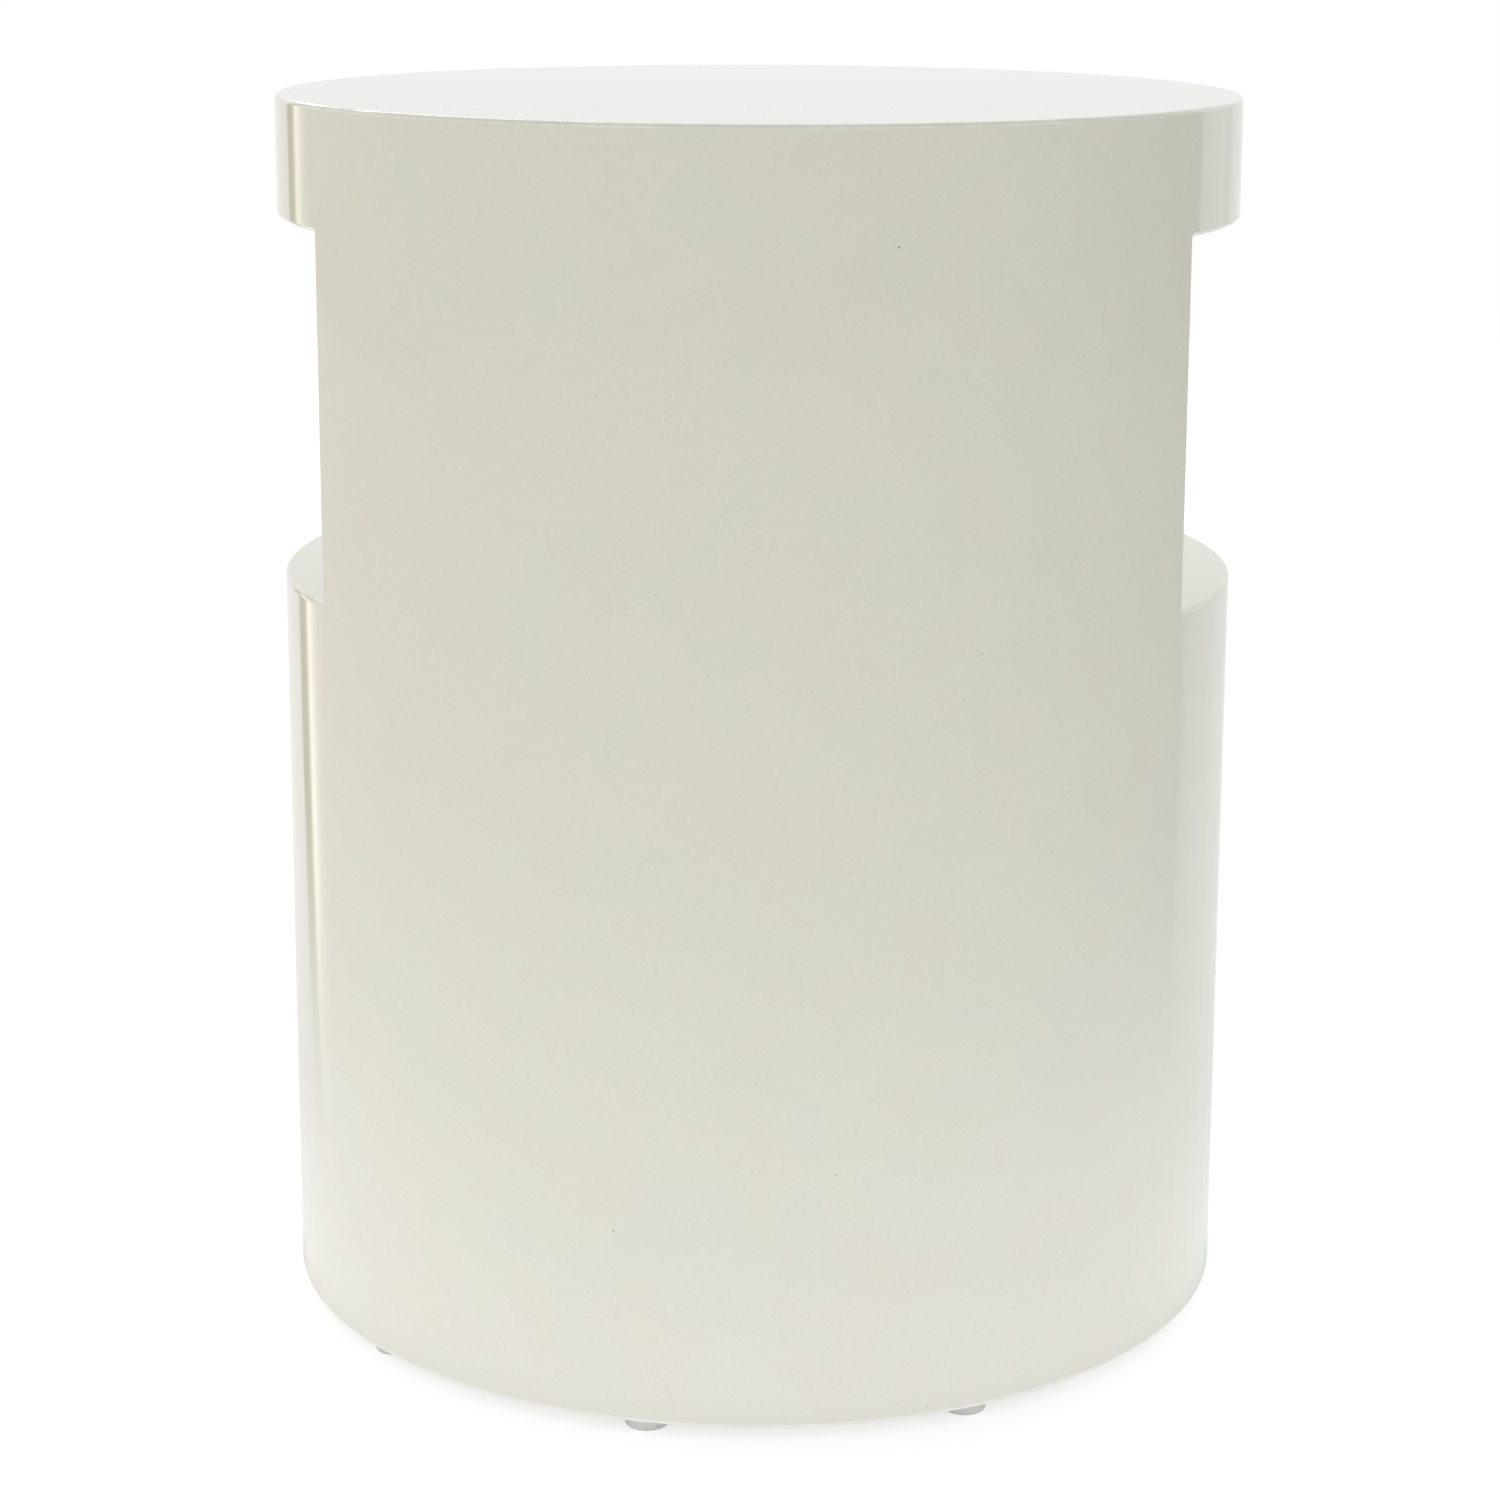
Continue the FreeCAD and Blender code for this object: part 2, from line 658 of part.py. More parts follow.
    # Hollow top: a horseshoe rib and two webs between the soffit and the top board
    top_ring = make_ring("top_ring", "Place.core_height", "Place.soffit_top")
    pieces["top_ring_rib"] = cut("top_ring_rib", top_ring, top_bores)
    for side, middle in webs.items():
        name = f"top_web_{side}"
        pieces[name] = make_web(name, middle, "Place.ring_inner - Size.glue_line",
                                "Place.core_height", "Place.soffit_top")

    pieces["glides"] = make_glides()
    pieces["glide_screws"] = make_glide_screws()
    return pieces


def check(pieces):
    """Stop at a failed object, or at a piece with no sound shape."""
    for item in doc.Objects:
        if "Invalid" in item.State or "Error" in item.State:
            raise RuntimeError(f"{item.Name} failed: {item.State}")
    for name, item in pieces.items():
        if item.Shape.isNull() or not item.Shape.isValid() or not item.Shape.Solids:
            raise RuntimeError(f"{name} has no sound shape")


def export(pieces):
    """Write each piece to a file that carries its name."""
    os.makedirs("parts", exist_ok=True)
    for name, item in pieces.items():
        item.Label = name
        item.Shape.exportStep(os.path.join("parts", f"{name}.step"))
        print(f"{name}: {len(item.Shape.Solids)} solids, {item.Shape.Volume / 1000:.1f} cm3")


fill_sheet("Size", {alias: str(size) for alias, size in SIZES.items()})
fill_sheet("Place", {alias: f"={formula}" for alias, formula in PLACES.items()})
table = build_table()
doc.recompute()
check(table)
export(table)
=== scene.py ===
import logging
import math
from dataclasses import dataclass
from enum import Enum
from typing import Callable, Iterable, Optional, Union

import bpy
from mathutils import Matrix, Vector


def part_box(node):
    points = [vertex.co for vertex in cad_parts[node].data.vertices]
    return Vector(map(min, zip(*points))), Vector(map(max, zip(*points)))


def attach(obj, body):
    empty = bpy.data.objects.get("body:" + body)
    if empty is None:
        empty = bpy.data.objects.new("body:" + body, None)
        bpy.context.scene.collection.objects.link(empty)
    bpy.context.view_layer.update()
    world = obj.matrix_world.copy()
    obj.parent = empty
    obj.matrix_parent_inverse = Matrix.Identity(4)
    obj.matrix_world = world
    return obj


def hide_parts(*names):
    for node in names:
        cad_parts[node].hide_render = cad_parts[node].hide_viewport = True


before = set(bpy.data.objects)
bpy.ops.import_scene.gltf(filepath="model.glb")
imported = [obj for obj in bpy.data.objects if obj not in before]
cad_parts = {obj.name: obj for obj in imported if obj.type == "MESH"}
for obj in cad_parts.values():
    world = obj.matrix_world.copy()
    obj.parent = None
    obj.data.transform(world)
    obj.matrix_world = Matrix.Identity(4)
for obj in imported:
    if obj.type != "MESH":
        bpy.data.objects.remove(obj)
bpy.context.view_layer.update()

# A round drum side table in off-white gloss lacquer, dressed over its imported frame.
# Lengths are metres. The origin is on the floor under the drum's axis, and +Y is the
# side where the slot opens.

LOG = logging.getLogger("side_table")
MM = 0.001

Colour = tuple[float, float, float, float]
Fed = Union[bpy.types.NodeSocket, float, int, tuple]


def srgb(red: int, green: int, blue: int) -> Colour:
    """Turns a colour as seen on a screen into the linear one that shaders use.

    Args:
        red: 0 to 255.
        green: 0 to 255.
        blue: 0 to 255.

    Returns:
        The linear colour, opaque.
    """
    linear = []
    for part in (red, green, blue):
        share = part / 255.0
        linear.append(share / 12.92 if share <= 0.04045 else ((share + 0.055) / 1.055) ** 2.4)
    return (linear[0], linear[1], linear[2], 1.0)


class Slot(Enum):
    """The record's material slots."""

    LACQUERED_BOARD = "lacquered_board"
    GLIDE_PLASTIC = "glide_plastic"


class Grain(Enum):
    """Which way a board's grain runs, as the turn that lays it along Z."""

    ALONG_X = (0.0, math.pi / 2, 0.0)
    ALONG_Y = (math.pi / 2, 0.0, 0.0)
    ALONG_Z = (0.0, 0.0, 0.0)


class NodeSheet:
    """Puts and wires the nodes of one shader tree."""

    def __init__(self, tree: bpy.types.NodeTree) -> None:
        """Takes a tree and empties it."""
        self.tree = tree
        tree.nodes.clear()

    def put(self, kind: str, fed: Optional[dict] = None, **settings: object) -> bpy.types.Node:
        """Adds one node.

        Args:
            kind: the node's type.
            fed: what goes into its sockets, by name or number: a value, or a socket to link.
            settings: the node's own settings.

        Returns:
            The new node.
        """
        node = self.tree.nodes.new(kind)
        node.location = (220 * len(self.tree.nodes), 0)
        for name, value in settings.items():
            setattr(node, name, value)
        for key, value in (fed or {}).items():
            if isinstance(value, bpy.types.NodeSocket):
                self.tree.links.new(value, node.inputs[key])
            else:
                node.inputs[key].default_value = value
        return node

    def sum(self, operation: str, *terms: Fed, clamp: bool = False) -> bpy.types.NodeSocket:
        """One arithmetic node.

        Args:
            operation: its name, such as ADD or MULTIPLY.
            terms: one to three values or sockets.
            clamp: keep the result from 0 to 1.

        Returns:
            The result's socket.
        """
        node = self.put("ShaderNodeMath", dict(enumerate(terms)), operation=operation, use_clamp=clamp)
        return node.outputs[0]

    def step(self, value: Fed, low: float, high: float, to_low: float = 0.0, to_high: float = 1.0
             ) -> bpy.types.NodeSocket:
        """A smooth step of a value.

        Args:
            value: what is read.
            low: where the step starts.
            high: where it ends.
            to_low: the result up to low.
            to_high: the result from high on.

        Returns:
            The result's socket.
        """
        node = self.put("ShaderNodeMapRange",
                        {"Value": value, "From Min": low, "From Max": high, "To Min": to_low, "To Max": to_high},
                        interpolation_type="SMOOTHSTEP")
        return node.outputs["Result"]

    def blend(self, share: Fed, first: Fed, second: Fed, way: str = "MIX") -> bpy.types.NodeSocket:
        """Mixes two colours.

        Args:
            share: how much of the second, 0 to 1.
            first: the colour at 0.
            second: the colour at 1.
            way: the blend's name.

        Returns:
            The mixed colour's socket.
        """
        node = self.put("ShaderNodeMix", {0: share, 6: first, 7: second},
                        data_type="RGBA", blend_type=way, clamp_factor=True)
        return node.outputs[2]

    def noise(self, place: Fed, scale: Fed, detail: float = 2.0, roughness: float = 0.5, wander: float = 0.0
              ) -> bpy.types.NodeSocket:
        """Cloudy noise from about 0.3 to 0.7.

        Args:
            place: the point that is coloured.
            scale: how many clouds to the metre.
            detail: how many finer layers.
            roughness: how strong those are.
            wander: how far the clouds are drawn out.

        Returns:
            The noise's value.
        """
        node = self.put("ShaderNodeTexNoise", {"Vector": place, "Scale": scale, "Detail": detail,
                                               "Roughness": roughness, "Distortion": wander})
        return node.outputs[0]

    def ramp(self, value: Fed, stops: Iterable[tuple[float, Colour]]) -> bpy.types.NodeSocket:
        """Reads a colour off a strip.

        Args:
            value: 0 to 1, the place on the strip.
            stops: place and colour of each stop, in order.

        Returns:
            The colour's socket.
        """
        node = self.put("ShaderNodeValToRGB", {0: value})
        ramp = node.color_ramp
        marks = list(stops)
        while len(ramp.elements) < len(marks):
            ramp.elements.new(1.0)
        for element, (place, colour) in zip(ramp.elements, marks):
            element.position = place
            element.color = colour
        return node.outputs["Color"]


@dataclass(frozen=True)
class Port:
    """A named input or output of a shader group."""

    name: str
    kind: str = "NodeSocketFloat"
    start: Optional[Union[float, tuple]] = None


class ShaderGroup:
    """A shared effect: a node group that is built once and placed in several finishes."""

    title: str = "effect"
    takes: tuple[Port, ...] = ()
    gives: tuple[Port, ...] = ()

    def draw(self, sheet: NodeSheet, source: bpy.types.Node, target: bpy.types.Node) -> None:
        """Fills the group.

        Args:
            sheet: the group's nodes.
            source: the node that gives the group's inputs.
            target: the node that takes the group's outputs.
        """
        raise NotImplementedError

    def place(self, sheet: NodeSheet, fed: dict) -> bpy.types.Node:
        """Puts the group into a finish.

        Args:
            sheet: the finish's nodes.
            fed: values or sockets by input name.

        Returns:
            The group's node.
        """
        tree = bpy.data.node_groups.get(self.title)
        if tree is None:
            tree = bpy.data.node_groups.new(self.title, "ShaderNodeTree")
            inner = NodeSheet(tree)
            for port in self.takes:
                socket = tree.interface.new_socket(name=port.name, in_out="INPUT", socket_type=port.kind)
                if port.start is not None:
                    socket.default_value = port.start
            for port in self.gives:
                tree.interface.new_socket(name=port.name, in_out="OUTPUT", socket_type=port.kind)
            source = inner.put("NodeGroupInput")
            target = inner.put("NodeGroupOutput")
            self.draw(inner, source, target)
        return sheet.put("ShaderNodeGroup", fed, node_tree=tree)


class CloudyTint(ShaderGroup):
    """Faint clouds of two tints over a colour, with a finer mottle."""

    title = "cloudy_tint"
    takes = (Port("Place", "NodeSocketVector"), Port("Colour", "NodeSocketColor"),
             Port("Warm", "NodeSocketColor"), Port("Cool", "NodeSocketColor"),
             Port("Clouds", start=18.0), Port("Strength", start=0.5), Port("Mottle", start=0.1))
    gives = (Port("Colour", "NodeSocketColor"),)

    def draw(self, sheet: NodeSheet, source: bpy.types.Node, target: bpy.types.Node) -> None:
        """Two clouds of tint, then a mottle that darkens."""
        give = source.outputs
        warm = sheet.step(sheet.noise(give["Place"], give["Clouds"], 3.0, 0.6, 0.4), 0.44, 0.66)
        shifted = sheet.put("ShaderNodeVectorMath", {0: give["Place"], 1: (7.3, 1.9, 4.1)}, operation="ADD")
        cool = sheet.step(sheet.noise(shifted.outputs[0], give["Clouds"], 3.0, 0.6, 0.4), 0.44, 0.66)
        tinted = sheet.blend(sheet.sum("MULTIPLY", warm, give["Strength"]), give["Colour"], give["Warm"])
        tinted = sheet.blend(sheet.sum("MULTIPLY", cool, give["Strength"]), tinted, give["Cool"])
        fine = sheet.noise(give["Place"], 620.0, 2.0, 0.6)
        dark = sheet.blend(1.0, tinted, (0.93, 0.93, 0.925, 1.0), "MULTIPLY")
        shade = sheet.sum("MULTIPLY", sheet.step(fine, 0.35, 0.7), give["Mottle"])
        sheet.tree.links.new(sheet.blend(shade, tinted, dark), target.inputs["Colour"])


class SurfaceRelief(ShaderGroup):
    """Height of a sprayed or moulded skin, in millimetres: a long ripple and a fine peel."""

    title = "surface_relief"
    takes = (Port("Place", "NodeSocketVector"), Port("Ripple Scale", start=14.0), Port("Ripple", start=0.05),
             Port("Peel Scale", start=240.0), Port("Peel", start=0.004))
    gives = (Port("Height"),)

    def draw(self, sheet: NodeSheet, source: bpy.types.Node, target: bpy.types.Node) -> None:
        """Adds the two waves."""
        give = source.outputs
        ripple = sheet.sum("MULTIPLY", sheet.noise(give["Place"], give["Ripple Scale"], 2.0, 0.45), give["Ripple"])
        peel = sheet.sum("MULTIPLY", sheet.noise(give["Place"], give["Peel Scale"], 2.0, 0.5), give["Peel"])
        sheet.tree.links.new(sheet.sum("ADD", ripple, peel), target.inputs["Height"])


class DustNibs(ShaderGroup):
    """A mask of pinpoint dust specks, one in some of the cells that the surface is laid out in."""

    title = "dust_nibs"
    takes = (Port("Place", "NodeSocketVector"), Port("Cells", start=42.0), Port("Size", start=0.02),
             Port("Share", start=0.5))
    gives = (Port("Mask"),)

    def draw(self, sheet: NodeSheet, source: bpy.types.Node, target: bpy.types.Node) -> None:
        """Near a cell's point, only in the share of cells that have one, most of them faint."""
        give = source.outputs
        cells = sheet.put("ShaderNodeTexVoronoi", {"Vector": give["Place"], "Scale": give["Cells"]})
        near = sheet.step(sheet.sum("DIVIDE", cells.outputs["Distance"], give["Size"]), 0.55, 1.0, 1.0, 0.0)
        pick = sheet.put("ShaderNodeSeparateColor", {0: cells.outputs["Color"]})
        some = sheet.sum("LESS_THAN", pick.outputs[0], give["Share"])
        deep = sheet.sum("MULTIPLY_ADD", sheet.sum("POWER", pick.outputs[1], 4.0), 0.55, 0.45)
        sheet.tree.links.new(sheet.sum("MULTIPLY", sheet.sum("MULTIPLY", near, some), deep),
                             target.inputs["Mask"])


class HandMarks(ShaderGroup):
    """Roughness that drifts a little where a surface has been wiped and touched."""

    title = "hand_marks"
    takes = (Port("Place", "NodeSocketVector"), Port("Patches", start=9.0), Port("Low", start=0.05),
             Port("High", start=0.09))
    gives = (Port("Roughness"),)

    def draw(self, sheet: NodeSheet, source: bpy.types.Node, target: bpy.types.Node) -> None:
        """Broad patches with finer wiping across them."""
        give = source.outputs
        broad = sheet.noise(give["Place"], give["Patches"], 4.0, 0.62, 0.8)
        share = sheet.step(broad, 0.38, 0.68)
        span = sheet.sum("SUBTRACT", give["High"], give["Low"])
        sheet.tree.links.new(sheet.sum("MULTIPLY_ADD", share, span, give["Low"]), target.inputs["Roughness"])


class EdgeWearHighlight(ShaderGroup):
    """Breaks an edge mask into patches, for lighter rounded edges that are partly polish wear and partly a painted
    highlight.
    """

    title = "edge_wear_highlight"
    takes = (Port("Place", "NodeSocketVector"), Port("Edge", start=0.0), Port("Strength", start=0.5))
    gives = (Port("Mask"),)

    def draw(self, sheet: NodeSheet, source: bpy.types.Node, target: bpy.types.Node) -> None:
        """Edge mask times patches along it."""
        give = source.outputs
        patches = sheet.step(sheet.noise(give["Place"], 55.0, 3.0, 0.6), 0.42, 0.64, 0.55, 1.0)
        worn_and_lit = sheet.sum("MULTIPLY", give["Edge"], patches)
        sheet.tree.links.new(sheet.sum("MULTIPLY", worn_and_lit, give["Strength"], clamp=True), target.inputs["Mask"])


class WoodGrain(ShaderGroup):
    """Growth rings seen along a board, with fine pores."""

    title = "wood_grain"
    takes = (Port("Place", "NodeSocketVector"), Port("Light", "NodeSocketColor"), Port("Dark", "NodeSocketColor"),
             Port("Rings", start=60.0), Port("Wander", start=3.0))
    gives = (Port("Colour", "NodeSocketColor"), Port("Height"))

    def draw(self, sheet: NodeSheet, source: bpy.types.Node, target: bpy.types.Node) -> None:
        """Rings about Z, squeezed so that they run along it, and pores drawn out the same way."""
        give = source.outputs
        long = sheet.put("ShaderNodeMapping", {"Vector": give["Place"], "Scale": (1.0, 1.0, 0.08)})
        rings = sheet.put("ShaderNodeTexWave",
                          {"Vector": long.outputs[0], "Scale": give["Rings"], "Distortion": give["Wander"],
                           "Detail": 3.0, "Detail Scale": 1.4},
                          wave_type="RINGS", rings_direction="Z", wave_profile="SAW")
        pores = sheet.step(sheet.noise(long.outputs[0], 900.0, 2.0, 0.6), 0.52, 0.7)
        colour = sheet.blend(rings.outputs["Fac"], give["Light"], give["Dark"])
        deep = sheet.blend(1.0, colour, (0.72, 0.68, 0.62, 1.0), "MULTIPLY")
        colour = sheet.blend(sheet.sum("MULTIPLY", pores, 0.5), colour, deep)
        sheet.tree.links.new(colour, target.inputs["Colour"])
        height = sheet.sum("MULTIPLY_ADD", rings.outputs["Fac"], 0.03, sheet.sum("MULTIPLY", pores, -0.04))
        sheet.tree.links.new(height, target.inputs["Height"])


class RoomStrip(ShaderGroup):
    """The room's walls as one strip of light, read by the way that a ray goes."""

    title = "room_strip"
    takes = (Port("Way", "NodeSocketVector"),)
    gives = (Port("Colour", "NodeSocketColor"), Port("Sweep"), Port("Seam"))
    sweep = (-53.0, 35.0)
    seam = ((-38.0, -35.0), (-32.0, -29.0))
    peak = 2.4

    def _stops(self) -> list[tuple[float, Colour]]:
        """Degrees to the left of straight back, and the light there."""
        right, left = self.sweep
        return [
            (-180.0, (0.83, 0.83, 0.78, 1.0)),
            (-125.0, (0.77, 0.78, 0.74, 1.0)),
            (-95.0, (0.60, 0.615, 0.59, 1.0)),
            (right - 1, (0.46, 0.47, 0.43, 1.0)),
            (right, (0.80, 0.82, 0.81, 1.0)),
            (right + 7, (0.84, 0.855, 0.85, 1.0)),
            (right + 13, (0.91, 0.92, 0.915, 1.0)),
            (right + 18, (0.88, 0.89, 0.89, 1.0)),
            (right + 25, (0.93, 0.94, 0.94, 1.0)),
            (right + 33, (0.86, 0.87, 0.87, 1.0)),
            (-10.0, (0.96, 0.96, 0.96, 1.0)),
            (left - 0.6, (1.00, 1.00, 1.00, 1.0)),
            (left, (0.30, 0.22, 0.06, 1.0)),
            (left + 5.4, (0.24, 0.16, 0.04, 1.0)),
            (left + 6.4, (2.30, 2.18, 1.94, 1.0)),
            (left + 8.5, (2.10, 1.96, 1.70, 1.0)),
            (left + 12, (1.25, 1.16, 1.00, 1.0)),
            (left + 16, (0.90, 0.86, 0.78, 1.0)),
            (90.0, (0.88, 0.85, 0.79, 1.0)),
            (130.0, (0.88, 0.86, 0.81, 1.0)),
            (180.0, (0.83, 0.83, 0.78, 1.0)),
        ]

    def draw(self, sheet: NodeSheet, source: bpy.types.Node, target: bpy.types.Node) -> None:
        """The strip, a mask of the part where the pale sweep hangs, and one of the seam in it."""
        way = sheet.put("ShaderNodeSeparateXYZ", {0: source.outputs["Way"]}).outputs
        turn = sheet.sum("ARCTAN2", sheet.sum("MULTIPLY", way["X"], -1.0), way["Y"])
        share = sheet.sum("MULTIPLY_ADD", turn, 1 / math.tau, 0.5)
        marks = [(angle / 360 + 0.5, tuple(part / self.peak for part in colour[:3]) + (1.0,))
                 for angle, colour in self._stops()]
        walls = sheet.put("ShaderNodeVectorMath", {0: sheet.ramp(share, marks), "Scale": self.peak},
                          operation="SCALE").outputs["Vector"]
        right, left = (math.radians(angle) for angle in self.sweep)
        inside = sheet.sum("MULTIPLY", sheet.sum("GREATER_THAN", turn, right), sheet.sum("LESS_THAN", turn, left))
        (rise, full), (fall, end) = ([math.radians(angle) for angle in pair] for pair in self.seam)
        seam = sheet.sum("MULTIPLY", sheet.step(turn, rise, full), sheet.step(turn, fall, end, 1.0, 0.0))
        sheet.tree.links.new(walls, target.inputs["Colour"])
        sheet.tree.links.new(inside, target.inputs["Sweep"])
        sheet.tree.links.new(seam, target.inputs["Seam"])


def object_place(sheet: NodeSheet, turn: tuple[float, float, float] = (0.0, 0.0, 0.0)) -> bpy.types.NodeSocket:
    """The point that is coloured, in the object's own coordinates.

    Args:
        sheet: the finish's nodes.
        turn: how the pattern is turned, in radians.

    Returns:
        The point's socket.
    """
    coordinates = sheet.put("ShaderNodeTexCoord").outputs["Object"]
    if turn == (0.0, 0.0, 0.0):
        return coordinates
    return sheet.put("ShaderNodeMapping", {"Vector": coordinates, "Rotation": turn}).outputs[0]


@dataclass(frozen=True)
class Finish:
    """A finish: one material, made once."""

    title: str

    def wire(self, sheet: NodeSheet) -> dict:
        """Says what feeds the surface shader.

        Args:
            sheet: the material's nodes.

        Returns:
            Values or sockets by the surface shader's input names.
        """
        raise NotImplementedError

    def material(self) -> bpy.types.Material:
        """The material, built the first time it is asked for.

        Returns:
            The finish's material.
        """
        found = bpy.data.materials.get(self.title)
        if found is not None:
            return found
        made = bpy.data.materials.new(self.title)
        made.use_nodes = True
        sheet = NodeSheet(made.node_tree)
        surface = sheet.put("ShaderNodeBsdfPrincipled", self.wire(sheet))
        sheet.put("ShaderNodeOutputMaterial", {"Surface": surface.outputs[0]})
        return made

    def dress(self, piece: bpy.types.Object) -> None:
        """Gives a piece this finish and no other."""
        piece.data.materials.clear()
        piece.data.materials.append(self.material())


def relief_normal(sheet: NodeSheet, height: Fed, strength: float = 1.0) -> bpy.types.NodeSocket:
    """A normal from a height in millimetres.

    Args:
        sheet: the finish's nodes.
        height: the height's socket.
        strength: how much of it counts.

    Returns:
        The normal's socket.
    """
    return sheet.put("ShaderNodeBump", {"Height": height, "Distance": MM, "Strength": strength}).outputs[0]


@dataclass(frozen=True)
class GlossLacquer(Finish):
    """Off-white lacquer, sprayed and polished to a gloss, with a trace of orange peel."""

    colour: Colour = srgb(225, 224, 213)
    warm: Colour = srgb(228, 221, 210)
    cool: Colour = srgb(219, 225, 213)
    speck: Colour = srgb(120, 122, 108)
    # Lighter colour on the rounded edges: partly polish wear, partly a painted highlight.
    rubbed_highlight: Colour = srgb(243, 241, 233)
    ripple: float = 0.09
    peel: float = 0.0016

    def wire(self, sheet: NodeSheet) -> dict:
        """Clouds of tint, dust specks, lighter rounded edges that are partly polish wear and partly a painted
        highlight, wiped gloss and the peel's relief.
        """
        place = object_place(sheet)
        tint = CloudyTint().place(sheet, {"Place": place, "Colour": self.colour, "Warm": self.warm,
                                          "Cool": self.cool, "Clouds": 24.0, "Strength": 0.35, "Mottle": 0.35})
        edge = sheet.put("ShaderNodeAttribute", attribute_name="edge_round").outputs["Fac"]
        # Rounded edges lightened in patches: a painted highlight as well as polish wear.
        edge_highlight = EdgeWearHighlight().place(sheet, {"Place": place, "Edge": edge, "Strength": 0.9}).outputs["Mask"]
        nibs = DustNibs().place(sheet, {"Place": place, "Cells": 50.0, "Size": 0.029, "Share": 0.60})
        colour = sheet.blend(edge_highlight, tint.outputs["Colour"], self.rubbed_highlight)
        colour = sheet.blend(nibs.outputs["Mask"], colour, self.speck)
        gloss = HandMarks().place(sheet, {"Place": place, "Patches": 7.0, "Low": 0.045, "High": 0.075})
        relief = SurfaceRelief().place(sheet, {"Place": place, "Ripple Scale": 17.0, "Ripple": self.ripple,
                                               "Peel Scale": 260.0, "Peel": self.peel})
        raised = sheet.sum("MULTIPLY_ADD", nibs.outputs["Mask"], 0.03, relief.outputs["Height"])
        return {"Base Color": colour, "Roughness": gloss.outputs["Roughness"], "IOR": 1.5,
                "Normal": relief_normal(sheet, raised)}


@dataclass(frozen=True)
class SprayPrimer(Finish):
    """The sanded primer that the boards have under the gloss."""

    colour: Colour = srgb(222, 220, 208)
    warm: Colour = srgb(226, 218, 204)
    cool: Colour = srgb(216, 219, 208)

    def wire(self, sheet: NodeSheet) -> dict:
        """Cloudy and matt, with a fine tooth."""
        place = object_place(sheet)
        tint = CloudyTint().place(sheet, {"Place": place, "Colour": self.colour, "Warm": self.warm,
                                          "Cool": self.cool, "Clouds": 40.0, "Strength": 0.6, "Mottle": 0.7})
        matt = HandMarks().place(sheet, {"Place": place, "Patches": 20.0, "Low": 0.42, "High": 0.58})
        relief = SurfaceRelief().place(sheet, {"Place": place, "Ripple Scale": 40.0, "Ripple": 0.02,
                                               "Peel Scale": 800.0, "Peel": 0.006})
        return {"Base Color": tint.outputs["Colour"], "Roughness": matt.outputs["Roughness"],
                "Normal": relief_normal(sheet, relief.outputs["Height"])}


@dataclass(frozen=True)
class RawFibreboard(Finish):
    """Fibreboard as it comes from the saw."""

    colour: Colour = srgb(190, 164, 130)
    warm: Colour = srgb(176, 145, 110)
    cool: Colour = srgb(201, 180, 150)

    def wire(self, sheet: NodeSheet) -> dict:
        """Short pressed fibres over soft clouds."""
        place = object_place(sheet)
        tint = CloudyTint().place(sheet, {"Place": place, "Colour": self.colour, "Warm": self.warm,
                                          "Cool": self.cool, "Clouds": 55.0, "Strength": 0.7, "Mottle": 1.0})
        fibre = sheet.noise(place, 1500.0, 3.0, 0.7, 1.5)
        pale = sheet.blend(sheet.step(fibre, 0.55, 0.72), tint.outputs["Colour"], srgb(214, 194, 164))
        relief = SurfaceRelief().place(sheet, {"Place": place, "Ripple Scale": 90.0, "Ripple": 0.03,
                                               "Peel Scale": 1400.0, "Peel": 0.03})
        return {"Base Color": pale, "Roughness": sheet.step(fibre, 0.3, 0.7, 0.78, 0.92),
                "Normal": relief_normal(sheet, relief.outputs["Height"])}


@dataclass(frozen=True)
class PlanedWood(Finish):
    """Planed timber with its grain along one axis."""

    light: Colour = srgb(222, 192, 146)
    dark: Colour = srgb(188, 146, 96)
    rings: float = 34.0
    grain: Grain = Grain.ALONG_Z

    def wire(self, sheet: NodeSheet) -> dict:
        """Rings and pores along the board."""
        place = object_place(sheet, self.grain.value)
        grain = WoodGrain().place(sheet, {"Place": place, "Light": self.light, "Dark": self.dark,
                                          "Rings": self.rings, "Wander": 4.0})
        sheen = HandMarks().place(sheet, {"Place": place, "Patches": 30.0, "Low": 0.5, "High": 0.66})
        return {"Base Color": grain.outputs["Colour"], "Roughness": sheen.outputs["Roughness"],
                "Normal": relief_normal(sheet, grain.outputs["Height"])}


@dataclass(frozen=True)
class PlatedSteel(Finish):
    """Zinc-plated screws: pale, slightly blotched metal."""

    colour: Colour = srgb(206, 205, 198)
    warm: Colour = srgb(214, 206, 180)
    cool: Colour = srgb(190, 198, 206)

    def wire(self, sheet: NodeSheet) -> dict:
        """Plated metal with a faint bloom."""
        place = object_place(sheet)
        tint = CloudyTint().place(sheet, {"Place": place, "Colour": self.colour, "Warm": self.warm,
                                          "Cool": self.cool, "Clouds": 320.0, "Strength": 0.7, "Mottle": 0.6})
        bloom = HandMarks().place(sheet, {"Place": place, "Patches": 260.0, "Low": 0.26, "High": 0.42})
        return {"Base Color": tint.outputs["Colour"], "Metallic": 1.0, "Roughness": bloom.outputs["Roughness"]}


